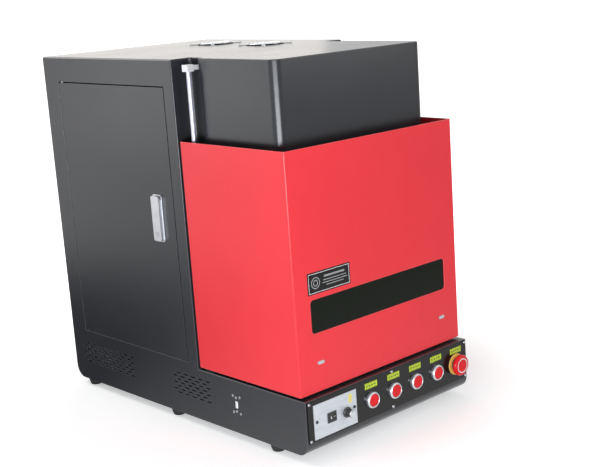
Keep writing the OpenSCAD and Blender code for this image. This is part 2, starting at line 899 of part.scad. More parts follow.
// Oval caps on the cover's front and the studs behind them
module cover_fixings() {
    color(silver) for (s = [-1, 1]) {
        slab_y(y_cover - fixing_t, fixing_t) translate([s * fixing_x, z_fixing])
            round_rect(fixing_w, fixing_h, fixing_h / 2 - 0.2);
        rod_y_axis(screw_d / 2, [s * fixing_x, y_cover - 1, z_fixing], cover_t + 1 + 8, small);
    }
}

// Channel across the inside of the cover's front
module cover_stiffener() {
    y0 = y_cover + cover_t;
    color(red_paint) difference() {
        block([-x_cover + cover_t + 20, y0, z_fixing - stiffener_h / 2],
              [x_cover - cover_t - 20, y0 + stiffener_d, z_fixing + stiffener_h / 2]);
        block([-x_cover, y0 + cover_t, z_fixing - stiffener_h / 2 + cover_t],
              [x_cover, y0 + stiffener_d + over, z_fixing + stiffener_h / 2 - cover_t]);
        for (s = [-1, 1])
            rod_y_axis(screw_d / 2 + loose, [s * fixing_x, y0 - over, z_fixing], cover_t + 2 * over, small);
    }
}

// Bearing blocks, the upper ones on a plate that takes the lift rod
module bearing_blocks() {
    color(dark) both_sides() {
        bearing_block(z_low_block);
        difference() {
            union() {
                bearing_block(z_up_block);
                block([x_lift - lift_d / 2, y_rod - rod_d / 2 - 3, z_bracket],
                      [x_rod + block_w / 2, y_lift + lift_d / 2, z_up_block]);
            }
            rod_z_axis(rod_d / 2 + 1, [x_rod, y_rod, z_bracket - over], bracket_t + over);
            rod_z_axis(lift_rod_d / 2 + run_gap, [x_lift, y_lift, z_bracket - over],
                       bracket_t + 2 * over);
        }
    }
}

module bearing_block(z) {
    difference() {
        block([x_rod - block_w / 2, y_rod - block_w / 2, z],
              [x_rod + block_w / 2, y_rod + block_w / 2, z + bearing_l]);
        rod_z_axis(bearing_d / 2 + run_gap, [x_rod, y_rod, z - over], bearing_l + 2 * over);
    }
}

module linear_bearings() {
    color(silver) both_sides() for (z = [z_low_block, z_up_block])
        difference() {
            rod_z_axis(bearing_d / 2, [x_rod, y_rod, z], bearing_l);
            rod_z_axis(rod_d / 2 + run_gap, [x_rod, y_rod, z - over], bearing_l + 2 * over);
        }
}

module lift_rods() {
    color(chrome) both_sides() {
        rod_z_axis(lift_rod_d / 2, [x_lift, y_lift, piston_z], z_bracket + bracket_t + 2 - piston_z, small);
        rod_z_axis(lift_bore_r - run_gap, [x_lift, y_lift, piston_z], piston_t, small);
        // nut below the bracket
        rod_z_axis(lift_rod_d / 2 + 1.5, [x_lift, y_lift, z_bracket - 2.5], 2.5, small);
    }
}

module lift_cylinders() {
    color(dark) both_sides() difference() {
        rod_z_axis(lift_d / 2, [x_lift, y_lift, z_deck], lift_top - z_deck);
        rod_z_axis(lift_bore_r, [x_lift, y_lift, z_deck + lift_foot_t],
                   lift_top - lift_cap_t - z_deck - lift_foot_t, small);
        rod_z_axis(lift_rod_d / 2 + run_gap, [x_lift, y_lift, lift_top - lift_cap_t - over],
                   lift_cap_t + 2 * over, small);
    }
}

module guide_rods() {
    color(chrome) both_sides()
        rod_z_axis(rod_d / 2, [x_rod, y_rod, z_deck], z_end_block + end_block_h - 2 - z_deck);
}

// Blocks that hold the rods' ends: at the top on an arm from the slot's inner wall
module rod_end_blocks() {
    color(silver) both_sides() {
        difference() {
            union() {
                block([x_rod - end_block / 2, y_rod - end_block / 2, z_end_block],
                      [x_rod + end_block / 2, y_rod + end_block / 2, z_end_block + end_block_h]);
                block([x_slot, y_rod - 5, z_end_block + 2],
                      [x_rod - end_block / 2 + over, y_rod + 5, z_end_block + end_block_h - 2]);
            }
            rod_z_axis(rod_d / 2, [x_rod, y_rod, z_end_block - over], end_block_h - 2 + over);
        }
        difference() {
            block([x_rod - block_w / 2 + 1, y_rod - block_w / 2, z_deck],
                  [x_rod + block_w / 2 - 1, y_rod + block_w / 2, z_deck + foot_block_h]);
            rod_z_axis(rod_d / 2, [x_rod, y_rod, z_deck - over], foot_block_h + 2 * over);
        }
    }
}

// ---------- control panel ----------

module control_panel() {
    color(dark) difference() {
        block([-x_panel, y_panel, z_panel0], [x_panel, y_front, z_panel1]);
        for (x = concat(button_xs, [x_stop]))
            rod_y_axis(panel_hole_d / 2, [x, y_panel - over, z_button], panel_t + 2 * over);
        for (p = panel_screw_places)
            rod_y_axis(screw_d / 2 + loose, [p[0], y_panel - over, p[1]], panel_t + 2 * over, small);
        for (s = [-1, 1])
            rod_y_axis(screw_d / 2 + loose, [x_module + s * module_screw_x, y_panel - over, z_module],
                       panel_t + 2 * over, small);
        // window behind the power module
        block([x_rocker - rocker_w / 2 - 2, y_panel - over, z_knob - pot_r - 2],
              [x_knob + pot_r + 2, y_front + over, z_rocker + rocker_h / 2 + 2]);
    }
}

// Screws of the control panel, of the power module and of the feet
module screws() {
    color(silver) {
        for (s = [-1, 1], y = foot_ys) {
            rod_z_axis(2 * foot_screw_r - loose, [s * x_foot, y, 2], 3, small);
            rod_z_axis(foot_screw_r, [s * x_foot, y, 4], foot_h + sheet_t, small);
        }
        for (p = panel_screw_places) screw_y(p[0], y_panel, p[1], panel_t + sheet_t + 3);
        for (s = [-1, 1])
            screw_y(x_module + s * module_screw_x, y_module, z_module, module_t + panel_t + 1);
    }
}

module module_plate() {
    color(silver) difference() {
        block([x_module - module_w / 2, y_module, z_module - module_h / 2],
              [x_module + module_w / 2, y_panel, z_module + module_h / 2]);
        block([x_rocker - rocker_w / 2 + 1.5, y_module - over, z_rocker - rocker_h / 2 + 1.5],
              [x_rocker + rocker_w / 2 - 1.5, y_panel + over, z_rocker + rocker_h / 2 - 1.5]);
        rod_y_axis(pot_shaft_r + 1, [x_knob, y_module - over, z_knob], module_t + 2 * over, small);
        for (s = [-1, 1])
            rod_y_axis(screw_d / 2 + loose, [x_module + s * module_screw_x, y_module - over, z_module],
                       module_t + 2 * over, small);
    }
}

// Half width and half height of the rocker itself
rocker_a = rocker_w / 2 - 4;
rocker_b = rocker_h / 2 - 4;
rocker_pivot = 2;
rocker_pin_r = 1.2;

module rocker_frame() {
    color(dark) difference() {
        union() {
            block([x_rocker - rocker_w / 2, y_module - rocker_frame_t, z_rocker - rocker_h / 2],
                  [x_rocker + rocker_w / 2, y_module, z_rocker + rocker_h / 2]);
            block([x_rocker - rocker_w / 2 + 1.8, y_module - 0.5, z_rocker - rocker_h / 2 + 1.8],
                  [x_rocker + rocker_w / 2 - 1.8, y_module + rocker_body_l, z_rocker + rocker_h / 2 - 1.8]);
        }
        block([x_rocker - rocker_a - 1, y_module - rocker_frame_t - over, z_rocker - rocker_b - rocker_gap],
              [x_rocker + rocker_a + 1, y_module + 9, z_rocker + rocker_b + rocker_gap]);
        // pivot sockets
        rod_z_axis(rocker_pin_r + run_gap, [x_rocker, y_module + rocker_pivot, z_rocker - rocker_b - 1.2],
                   2 * rocker_b + 2.4, small);
    }
}

// The rocker at rest has its left side pressed in
module rocker() {
    r = rocker_a + 0.5;
    face_r = 14;
    h = 2 * rocker_b;
    color(dark) translate([x_rocker, y_module + rocker_pivot, z_rocker]) rotate(-rocker_tilt) {
        difference() {
            rod_z_axis(r, [0, 0, -rocker_b], h);
            block([-r - over, 2, -rocker_b - over], [r + over, r + over, rocker_b + over]);
            // hollowed face
            rod_z_axis(face_r, [0, -4 - face_r, -rocker_b - over], h + 2 * over);
        }
        rod_z_axis(rocker_pin_r, [0, 0, -rocker_b - 1], h + 2, small);
    }
}

module knob() {
    color(dark) difference() {
        union() {
            rod_y_axis(knob_d / 2, [x_knob, y_module - 3.5, z_knob], 3);
            rod_y_axis(knob_d / 2 - 2.5, [x_knob, y_module - knob_h, z_knob], knob_h - 1);
        }
        rod_y_axis(pot_shaft_r, [x_knob, y_module - knob_h + 3, z_knob], knob_h, small);
    }
}

// Spindle that turns with the knob in the potentiometer's bush
module knob_spindle() {
    y0 = y_module - knob_h + 3;
    color(silver) rod_y_axis(pot_shaft_r, [x_knob, y0, z_knob], y_panel + pot_l - 2 - y0, small);
}

module potentiometer() {
    color(silver) difference() {
        rod_y_axis(pot_r, [x_knob, y_panel, z_knob], pot_l);
        rod_y_axis(pot_shaft_r + run_gap, [x_knob, y_panel - over, z_knob], pot_l - 2 + over, small);
    }
}

module button_bezels() {
    color(silver) for (x = button_xs)
        difference() {
            union() {
                rod_y_axis(bezel_d / 2, [x, y_panel - bezel_h + 1, z_button], bezel_h - 1);
                translate([x, y_panel - bezel_h + 1, z_button]) rotate([90, 0, 0])
                    cylinder(r1 = bezel_d / 2, r2 = bezel_d / 2 - 1, h = 1, $fn = fine);
                rod_y_axis(barrel_r, [x, y_panel - over, z_button], barrel_l + over);
            }
            rod_y_axis(bezel_d / 2 - bezel_wall, [x, y_panel - bezel_h - over, z_button],
                       bezel_h + over - bezel_floor);
            rod_y_axis(barrel_bore_r, [x, y_panel - bezel_h, z_button], bezel_h + barrel_l + over);
        }
}

// Clamp rings and switch blocks behind the panel
module contact_blocks() {
    y0 = y_panel + barrel_l;
    color("#4a4b4d") for (x = concat(button_xs, [x_stop])) {
        difference() {
            rod_y_axis(barrel_r + 3, [x, y_front, z_button], 5);
            rod_y_axis(barrel_r, [x, y_front - over, z_button], 7);
        }
        difference() {
            block([x - contact_w / 2, y0, z_button - contact_h / 2],
                  [x + contact_w / 2, y0 + contact_l, z_button + contact_h / 2]);
            rod_y_axis(stop_stem_r + 0.5, [x, y0 - over, z_button], 12 + over, small);
        }
    }
}

module push_button(x) {
    y0 = y_panel - bezel_floor - button_travel - rest_gap / 2 - cap_t;
    color(red_paint) {
        rod_y_axis(button_cap_d / 2, [x, y0, z_button], cap_t);
        rod_y_axis(barrel_bore_r - run_gap, [x, y0 + cap_t - 0.5, z_button], barrel_l - 6);
        rod_y_axis(stem_r, [x, y0 + cap_t, z_button], barrel_l + bezel_h, small);
    }
}

module button_1() { push_button(button_xs[0]); }
module button_2() { push_button(button_xs[1]); }
module button_3() { push_button(button_xs[2]); }
module button_4() { push_button(button_xs[3]); }

module e_stop_ring() {
    color("#f0b040") difference() {
        rod_y_axis(stop_ring_d / 2, [x_stop, y_stop_ring, z_button], stop_ring_t);
        rod_y_axis(barrel_r, [x_stop, y_stop_ring - over, z_button], stop_ring_t + 2 * over);
    }
}

module e_stop_barrel() {
    color("#4a4b4d") difference() {
        union() {
            rod_y_axis(stop_collar_r, [x_stop, y_stop_collar, z_button], stop_collar_t);
            rod_y_axis(barrel_r, [x_stop, y_stop_collar + over, z_button],
                       y_panel + barrel_l - y_stop_collar - over);
        }
        rod_y_axis(stop_stem_r + run_gap, [x_stop, y_stop_collar - over, z_button], barrel_l + 20);
    }
}

module e_stop_stem() {
    y0 = y_stop_head - 3;
    color(dark) rod_y_axis(stop_stem_r, [x_stop, y0, z_button], y_panel + barrel_l + 3 - y0);
}

module e_stop_head() {
    r = stop_head_d / 2;
    edge = 3;
    color(red_paint) difference() {
        union() {
            rod_y_axis(r, [x_stop, y_stop_head - stop_head_t + edge, z_button], stop_head_t - edge - 1);
            rod_y_axis(r - edge, [x_stop, y_stop_head - stop_head_t, z_button], stop_head_t);
            translate([x_stop, y_stop_head - stop_head_t + edge, z_button]) rotate([90, 0, 0])
                rotate_extrude($fn = fine) translate([r - edge, 0]) intersection() {
                    circle(edge, $fn = small);
                    square(edge);
                }
            rod_y_axis(r - 2, [x_stop, y_stop_head - 1.5, z_button], 1.5);
        }
        rod_y_axis(stop_stem_r + run_gap, [x_stop, y_stop_head - 3.2, z_button], 10);
    }
}

module label_tags() {
    color("#b4c832") for (x = concat(button_xs, [x_stop]))
        block([x - tag_w / 2, y_panel - 0.6, z_tag - tag_h / 2],
              [x + tag_w / 2, y_panel, z_tag + tag_h / 2]);
}

// ---------- fans ----------

module fan_frames() {
    color(dark) for (y = fan_ys) translate([fan_x, y, z_fan]) difference() {
        union() {
            difference() {
                translate([-fan_w / 2, -fan_w / 2, 0]) cube([fan_w, fan_w, fan_t]);
                rod_z_axis(fan_bore_r, [0, 0, -over], fan_t + 2 * over);
            }
            rod_z_axis(fan_hub_r, [0, 0, 0], 3);
            for (a = [0, 120, 240])
                rotate(a + 45) translate([fan_hub_r - 2, -2, 0]) cube([fan_bore_r - fan_hub_r + 4, 4, 3]);
            rod_z_axis(2, [0, 0, 1], 12, small);
        }
        for (sx = [-1, 1], sy = [-1, 1])
            rod_z_axis(2.2, [sx * fan_screw, sy * fan_screw, -over], fan_t + 2 * over, small);
    }
}

module fan_rotor(y) {
    color("#303133") translate([fan_x, y, z_fan]) difference() {
        union() {
            rod_z_axis(fan_hub_r, [0, 0, 3.4], fan_t - 6);
            intersection() {
                rod_z_axis(fan_bore_r - 1.5, [0, 0, 0], fan_t);
                for (a = [0:6])
                    rotate(a * 360 / 7) translate([fan_hub_r - 3, 0, fan_t / 2 + 0.5]) rotate([35, 0, 0])
                    translate([0, -fan_blade_w / 2, -1]) cube([fan_bore_r, fan_blade_w, 2]);
            }
        }
        rod_z_axis(2 + run_gap, [0, 0, 0], 14, small);
    }
}

module fan_rotor_rear() { fan_rotor(fan_ys[0]); }
module fan_rotor_front() { fan_rotor(fan_ys[1]); }

module fan_guards() {
    r = guard_wire / 2;
    color(chrome) for (y = fan_ys) translate([fan_x, y, z_top]) {
        for (k = [0.36, 0.66, 0.96])
            translate([0, 0, 2.5 * r]) rotate_extrude($fn = fine)
                translate([k * fan_bore_r, 0]) circle(r, $fn = 16);
        for (a = [45, 135])
            rotate(a) rod_x_axis(r, [-fan_screw * sqrt(2), 0, r], 2 * fan_screw * sqrt(2), 16);
        rod_z_axis(8, [0, 0, 1.5 * r], 2);
        for (sx = [-1, 1], sy = [-1, 1]) {
            rod_z_axis(4, [sx * fan_screw, sy * fan_screw, 0], 2 * r + 1, small);
        }
    }
}

// ---------- focus column ----------

module z_column() {
    x = column_w / 2;
    color("#3a3c40") difference() {
        union() {
            block([-x, y_column - column_web, z_deck], [x, y_column, z_column_top]);
            for (s = [-1, 1])
                block([s > 0 ? x - column_wall : -x, y_rail, z_deck],
                      [s > 0 ? x : -x + column_wall, y_column, z_column_top]);
            // plates for the motor, the screw's lower bearing and its upper bearing
            for (p = [[z_motor_plate, motor_plate_t], [z_bearing_plate, bearing_plate_t],
                      [z_column_top - bearing_plate_t, bearing_plate_t]])
                block([-x, y_screw - motor_w / 2, p[0]], [x, y_column, p[0] + p[1]]);
        }
        rod_z_axis(lead_screw_r + run_gap, [0, y_screw, z_bearing_plate - over],
                   z_column_top - screw_end_gap + 1 - z_bearing_plate + over);
        rod_z_axis(11, [0, y_screw, z_motor_plate - over], motor_plate_t + 2 * over);
    }
}

module z_rails() {
    color(silver) both_sides()
        block([column_w / 2 - column_wall, y_rail - rail_t, z_rail],
              [column_w / 2, y_rail, z_rail + rail_l]);
}

module z_motor() {
    h = motor_w / 2;
    color(dark) difference() {
        union() {
            block([-h, y_screw - h, z_motor0], [h, y_screw + h, z_motor_plate]);
            block([-h, y_screw - h, z_deck], [h, y_screw + h - 8, z_motor0]);
        }
        rod_z_axis(motor_shaft_r + run_gap, [0, y_screw, z_motor_plate - motor_shaft_l - 2],
                   motor_shaft_l + 2 + over, small);
    }
}

// Lead screw with the coupling clamped on it and the motor's shaft, which all turn together
module lead_screw() {
    color(chrome) {
        rod_z_axis(lead_screw_r, [0, y_screw, z_coupler + 1], z_column_top - screw_end_gap - z_coupler - 1);
        rod_z_axis(coupler_r, [0, y_screw, z_coupler], coupler_l);
        rod_z_axis(motor_shaft_r, [0, y_screw, z_motor_plate - motor_shaft_l],
                   z_coupler + 1 - z_motor_plate + motor_shaft_l, small);
    }
}

module z_carriage() {
    x = column_w / 2;
    gap = rest_gap;
    z1 = z_carriage0 + carriage_h;
    color("#8d9196") difference() {
        union() {
            block([-x - 5, y_arm, z_carriage0], [x + 5, y_carriage, z1]);
            // runners on the rails
            for (s = [-1, 1], z = [z_carriage0, z1 - runner_l])
                difference() {
                    block([s * (x - column_wall / 2) - column_wall / 2 - 3, y_carriage - over, z],
                          [s * (x - column_wall / 2) + column_wall / 2 + 3, y_rail - 2, z + runner_l]);
                    block([s * (x - column_wall / 2) - column_wall / 2 - gap, y_rail - rail_t - gap,
                           z - over],
                          [s * (x - column_wall / 2) + column_wall / 2 + gap, y_rail,
                           z + runner_l + over]);
                }
            // nut block
            block([-14, y_carriage - over, z_carriage0 + 32], [14, y_screw + 12, z_carriage0 + 64]);
            // arm
            block([-x - 5, y_arm - arm_l, z_arm], [x + 5, y_arm + over, z_arm + arm_t]);
            block([x, y_beam - 24, z_arm], [scan_w / 2 + expander_l * 0.7, y_beam + 24, z_arm + arm_t]);
            // ribs
            for (s = [-1, 1])
                block([s * x - 4, y_arm - arm_l + 30, z_arm + arm_t - over],
                      [s * x + 4, y_arm + over, z_arm + arm_t + 20]);
            // saddle of the beam expander
            block([scan_w / 2 + expander_l * 0.7 - 16, y_beam - 14, z_beam + expander_d / 2 - 3],
                  [scan_w / 2 + expander_l * 0.7, y_beam + 14, z_arm + over]);
        }
        rod_z_axis(lead_screw_r + run_gap, [0, y_screw, z_carriage0], carriage_h);
        rod_x_axis(expander_d / 2 + run_gap, [scan_w / 2 - over, y_beam, z_beam], expander_l + 2 * over);
    }
}

module scan_head() {
    color("#26282b") {
        block([-scan_w / 2, y_scan - scan_l, z_scan], [scan_w / 2, y_scan, z_arm]);
        rod_z_axis(lens_d / 2 - 4, [0, y_beam, z_scan - 6], 6 + over);
    }
}

module f_theta_lens() {
    z0 = z_scan - 6 - lens_h;
    color(dark) difference() {
        union() {
            rod_z_axis(lens_d / 2, [0, y_beam, z0 + 10], lens_h - 10);
            rod_z_axis(lens_d / 2 - 3, [0, y_beam, z0], 12);
        }
        rod_z_axis(lens_d / 2 - 8, [0, y_beam, z0 - over], 6 + over);
    }
}

module beam_expander() {
    color("#b3392f") difference() {
        union() {
            rod_x_axis(expander_d / 2, [scan_w / 2, y_beam, z_beam], expander_l);
            rod_x_axis(expander_d / 2 - 6, [scan_w / 2 + expander_l - over, y_beam, z_beam], 9);
        }
        rod_x_axis(4, [scan_w / 2 + expander_l + 2, y_beam, z_beam], 10, small);
    }
}

module work_table() {
    color("#9aa0a6") difference() {
        block([-table_w / 2, y_table - table_d / 2, z_deck],
              [table_w / 2, y_table + table_d / 2, z_deck + table_t]);
        for (sx = [-1, 1], sy = [-1, 1])
            translate([sx * table_hole_x / 2, y_table + sy * table_hole_y / 2, 0])
                rod_z_axis(table_hole_d / 2, [0, 0, z_deck - over], table_t + 2 * over, small);
        // T-slots
        for (k = [-1, 0, 1]) {
            block([-table_w / 2 - over, y_table + k * 36 - 4, z_deck + table_t / 2],
                  [table_w / 2 + over, y_table + k * 36 + 4, z_deck + table_t + over]);
            block([-table_w / 2 - over, y_table + k * 36 - 7, z_deck + table_t / 2 - 3],
                  [table_w / 2 + over, y_table + k * 36 + 7, z_deck + table_t / 2]);
        }
    }
}

// ---------- cabinet contents ----------

module laser_source() {
    y0 = y_cab + laser_front;
    z0 = z_inside + laser_foot_h;
    color("#b8bcc0") {
        block([-laser_w / 2, y0, z0], [laser_w / 2, y0 + laser_l, z0 + laser_h]);
        for (s = [-1, 1], y = [y0 + 30, y0 + laser_l - 30])
            rod_z_axis(9, [s * (laser_w / 2 - 20), y, z_inside], laser_foot_h + over, small);
    }
}

// Upright plate on four standoffs inside the right wall
module mounting_plate() {
    color("#c9cdd1") {
        block([x_plate - sheet_t, plate_y0, z_plate0], [x_plate, plate_y1, z_plate1]);
        for (y = [plate_y0 + standoff_inset, plate_y1 - standoff_inset],
             z = [z_plate0 + standoff_inset, z_plate1 - standoff_inset])
            rod_x_axis(standoff_r, [x_plate - 0.5, y, z], plate_off + 0.5, small);
    }
}

module power_supply() {
    x1 = x_plate - sheet_t;
    z1 = z_plate1 - 25;
    color("#a9adb2") {
        block([x1 - supply_t, plate_y0 + control_inset, z1 - supply_h],
              [x1, plate_y0 + control_inset + supply_w, z1]);
        // terminal strip
        block([x1 - 16, plate_y0 + control_inset + 8, z1 - supply_h - 14],
              [x1, plate_y0 + control_inset + supply_w - 8, z1 - supply_h + over]);
    }
}

module controller() {
    x1 = x_plate - sheet_t;
    z1 = z_plate1 - 40;
    y0 = plate_y1 - control_inset - control_w;
    w = control_w / 15;
    color("#33363a") {
        block([x1 - control_t, y0, z1 - control_h], [x1, y0 + control_w, z1]);
        // stepper driver and relay below it
        block([x1 - 30, y0 + w, z1 - control_h - 130], [x1, y0 + 8 * w, z1 - control_h - 20]);
        block([x1 - 26, y0 + 9.5 * w, z1 - control_h - 110], [x1, y0 + 14 * w, z1 - control_h - 40]);
    }
}

module power_inlet() {
    y1 = y_rear_panel + sheet_t;
    color(dark) difference() {
        union() {
            block([x_inlet - inlet_w / 2 - 6, y1, z_inlet - inlet_h / 2 - 3],
                  [x_inlet + inlet_w / 2 + 6, y1 + 3, z_inlet + inlet_h / 2 + 3]);
            block([x_inlet - inlet_w / 2 + 0.5, y1 - 26, z_inlet - inlet_h / 2 + 0.5],
                  [x_inlet + inlet_w / 2 - 0.5, y1 + over, z_inlet + inlet_h / 2 - 0.5]);
        }
        // socket
        block([x_inlet - 20, y1 - 14, z_inlet - 9], [x_inlet + 6, y1 + 3 + over, z_inlet + 9]);
    }
    color(silver) for (p = [[-13.5, -2], [-7, 2], [-0.5, -2]])
        block([x_inlet + p[0] - 1, y1 - 14 - over, z_inlet + p[1] - 2.5],
              [x_inlet + p[0] + 1, y1 - 4, z_inlet + p[1] + 2.5]);
}

enclosure();
side_panels();
hood_shell();
rear_panel();
control_panel();
module_plate();
rocker_frame();
rocker();
knob();
potentiometer();
knob_spindle();
screws();
button_bezels();
contact_blocks();
button_1();
button_2();
button_3();
button_4();
e_stop_ring();
e_stop_barrel();
e_stop_stem();
e_stop_head();
label_tags();
cover();
cover_window();
cover_plate();
cover_fixings();
cover_stiffener();
bearing_blocks();
linear_bearings();
lift_rods();
lift_cylinders();
guide_rods();
rod_end_blocks();
door();
door_frame();
hinge_pins();
lock_plate();
lock_rotor();
lock_lever();
fan_frames();
fan_rotor_rear();
fan_rotor_front();
fan_guards();
feet();
z_column();
z_rails();
z_motor();
lead_screw();
z_carriage();
scan_head();
f_theta_lens();
beam_expander();
work_table();
laser_source();
mounting_plate();
power_supply();
controller();
power_inlet();
side_fixings();
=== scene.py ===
import math

import bmesh
import bpy
from bpy.props import FloatProperty, FloatVectorProperty, PointerProperty
from mathutils import Matrix, Vector


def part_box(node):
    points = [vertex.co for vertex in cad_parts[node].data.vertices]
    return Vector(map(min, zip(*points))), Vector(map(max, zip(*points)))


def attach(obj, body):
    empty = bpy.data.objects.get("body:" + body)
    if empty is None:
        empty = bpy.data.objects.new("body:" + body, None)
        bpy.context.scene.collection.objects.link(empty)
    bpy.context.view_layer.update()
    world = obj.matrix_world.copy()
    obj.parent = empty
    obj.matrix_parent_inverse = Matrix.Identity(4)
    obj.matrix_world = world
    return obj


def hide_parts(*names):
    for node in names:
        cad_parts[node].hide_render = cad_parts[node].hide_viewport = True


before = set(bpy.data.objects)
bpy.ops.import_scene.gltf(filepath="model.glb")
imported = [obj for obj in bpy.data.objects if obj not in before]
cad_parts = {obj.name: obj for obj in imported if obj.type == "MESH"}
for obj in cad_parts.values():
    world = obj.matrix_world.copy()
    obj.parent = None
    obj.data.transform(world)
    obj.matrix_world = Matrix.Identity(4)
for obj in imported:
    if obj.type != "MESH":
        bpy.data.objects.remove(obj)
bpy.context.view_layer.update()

bl_info = {
    "name": "Closed laser marking machine",
    "version": (1, 0, 0),
    "blender": (4, 5, 0),
    "location": "3D View > Sidebar > Marking machine",
    "description": "Dresses the packed frame of a closed desktop laser marking machine",
    "category": "Object",
}

# Sizes below are in millimetres, and Blender's are in metres
MM = 0.001

# CAD points closer than this, in metres, are one point, and faces within this angle are one face
MERGE = 2e-6
FLAT = math.radians(0.5)

# Radius and height of the small screws' heads on the control panel
SMALL_HEAD = (2.75, 1.9)

# Turns that bring a piece's own Z to a side of the machine
TURNS = {
    "up": (0, 0, 0),
    "down": (math.pi, 0, 0),
    "front": (math.pi / 2, 0, 0),
    "rear": (-math.pi / 2, 0, 0),
    "left": (0, -math.pi / 2, 0),
    "right": (0, math.pi / 2, 0),
}


# ---------------------------------------------------------------- modelling


def clear():
    """Deselects everything, in object mode."""
    if bpy.context.mode != "OBJECT":
        bpy.ops.object.mode_set(mode="OBJECT")
    bpy.ops.object.select_all(action="DESELECT")


def only(obj):
    """Makes obj the one selected and active object."""
    clear()
    obj.select_set(True)
    bpy.context.view_layer.objects.active = obj
    return obj


def named(obj, name):
    obj.name = name
    obj.data.name = name
    return obj


def editing(obj):
    """Enters edit mode on obj with everything selected."""
    only(obj)
    bpy.ops.object.mode_set(mode="EDIT")
    bpy.ops.mesh.select_all(action="SELECT")


def edited():
    bpy.ops.object.mode_set(mode="OBJECT")


def settle(obj, turn="up", place=(0, 0, 0)):
    """Turns and moves obj, then puts that into its mesh, so that the object sits at the origin."""
    only(obj)
    obj.rotation_euler = TURNS[turn] if isinstance(turn, str) else turn
    obj.location = Vector(place) * MM
    bpy.ops.object.transform_apply(location=True, rotation=True, scale=True)
    return obj


def outward(obj):
    """Turns the faces of a closed shape outwards."""
    editing(obj)
    bpy.ops.mesh.remove_doubles(threshold=1e-6)
    bpy.ops.mesh.normals_make_consistent(inside=False)
    edited()
    return obj


def smoothed(obj, angle=35):
    only(obj)
    bpy.ops.object.shade_smooth_by_angle(angle=math.radians(angle))
    return obj


def reshaped(obj, kind, **settings):
    """Applies one modifier to obj."""
    only(obj)
    bpy.ops.object.modifier_add(type=kind)
    modifier = obj.modifiers[-1]
    for key, value in settings.items():
        setattr(modifier, key, value)
    bpy.ops.object.modifier_apply(modifier=modifier.name)
    return obj


def evened(obj):
    """Lets broad faces lead the shading over the narrow rounds beside them, so they look flat."""
    return reshaped(obj, "WEIGHTED_NORMAL", keep_sharp=True)


def bevelled(obj, width, segments=2, angle=30):
    """Rounds the edges that are sharper than an angle, and shades the result."""
    reshaped(obj, "BEVEL", width=width * MM, segments=segments, limit_method="ANGLE",
             angle_limit=math.radians(angle))
    return evened(smoothed(obj, 50))


def rounded(obj, test, width, segments=4):
    """Rounds the sharp outer edges whose ends and middle pass a test of place, in millimetres."""
    editing(obj)
    bpy.ops.mesh.select_mode(type="EDGE")
    bpy.ops.mesh.select_all(action="DESELECT")
    mesh = bmesh.from_edit_mesh(obj.data)
    for edge in mesh.edges:
        if edge.calc_face_angle_signed(0) < math.radians(60):
            continue
        start, end = (vert.co / MM for vert in edge.verts)
        if test(start) and test((start + end) / 2) and test(end):
            edge.select_set(True)
    bmesh.update_edit_mesh(obj.data)
    bpy.ops.mesh.bevel(offset=width * MM, segments=segments)
    edited()
    return obj


def pick(obj, test):
    """In edit mode, selects the faces whose middle, in millimetres, and normal pass a test."""
    bpy.ops.mesh.select_mode(type="FACE")
    bpy.ops.mesh.select_all(action="DESELECT")
    mesh = bmesh.from_edit_mesh(obj.data)
    for face in mesh.faces:
        if test(face.calc_center_median() / MM, face.normal):
            face.select_set(True)
    bmesh.update_edit_mesh(obj.data)


def slab(name, lo, hi, edge=0.3, segments=2):
    """A block between two corners with rounded edges."""
    clear()
    lo, hi = Vector(lo), Vector(hi)
    bpy.ops.mesh.primitive_cube_add(size=1, location=(lo + hi) / 2 * MM)
    obj = named(bpy.context.object, name)
    obj.scale = (hi - lo) * MM
    bpy.ops.object.transform_apply(location=True, rotation=True, scale=True)
    return bevelled(obj, edge, segments) if edge else smoothed(obj)


def turned(name, profile, turn="up", place=(0, 0, 0), ring=False, vertices=48, angle=30):
    """A turned piece: a disc, or for a ring a bare circle, drawn through (radius, height) steps."""
    clear()
    radius, height = profile[0]
    bpy.ops.mesh.primitive_circle_add(
        vertices=vertices,
        radius=radius * MM,
        fill_type="NOTHING" if ring else "NGON",
        location=(0, 0, height * MM),
    )
    obj = named(bpy.context.object, name)
    bpy.ops.object.transform_apply(location=True, rotation=True, scale=True)
    editing(obj)
    bpy.ops.mesh.select_mode(type="EDGE" if ring else "FACE")
    bpy.ops.mesh.select_all(action="SELECT")
    for r, z in profile[1:] + ([profile[0]] if ring else []):
        bpy.ops.mesh.extrude_region_move(
            TRANSFORM_OT_translate={"value": (0, 0, (z - height) * MM)}
        )
        if abs(r - radius) > 1e-9:
            grow = r / radius
            bpy.ops.transform.resize(value=(grow, grow, 1), center_override=(0, 0, z * MM))
        radius, height = r, z
    edited()
    outward(obj)
    smoothed(obj, angle)
    return settle(obj, turn, place)


def wire_ring(name, radius, wire, place):
    """A closed ring of round wire, flat in X and Y."""
    clear()
    bpy.ops.mesh.primitive_torus_add(
        major_radius=radius * MM,
        minor_radius=wire * MM,
        major_segments=64,
        minor_segments=10,
        location=Vector(place) * MM,
    )
    obj = named(bpy.context.object, name)
    bpy.ops.object.transform_apply(location=True, rotation=True, scale=True)
    return smoothed(obj, 60)


def joined(name, objects):
    """Several objects made into one."""
    clear()
    for o in objects:
        o.select_set(True)
    bpy.context.view_layer.objects.active = objects[0]
    if len(objects) > 1:
        bpy.ops.object.join()
    return named(bpy.context.object, name)


def copy_of(model, name, turn="up", place=(0, 0, 0)):
    """A copy of a finished model with its own mesh, turned and moved to its place."""
    obj = bpy.data.objects.new(name, model.data.copy())
    bpy.context.scene.collection.objects.link(obj)
    return settle(named(obj, name), turn, place)


def row_of(model, name, places, turn="up"):
    """Copies of a model at several places, as one object. The model goes."""
    row = joined(name, [copy_of(model, name + "_part", turn, p) for p in places])
    bpy.data.objects.remove(model)
    return row


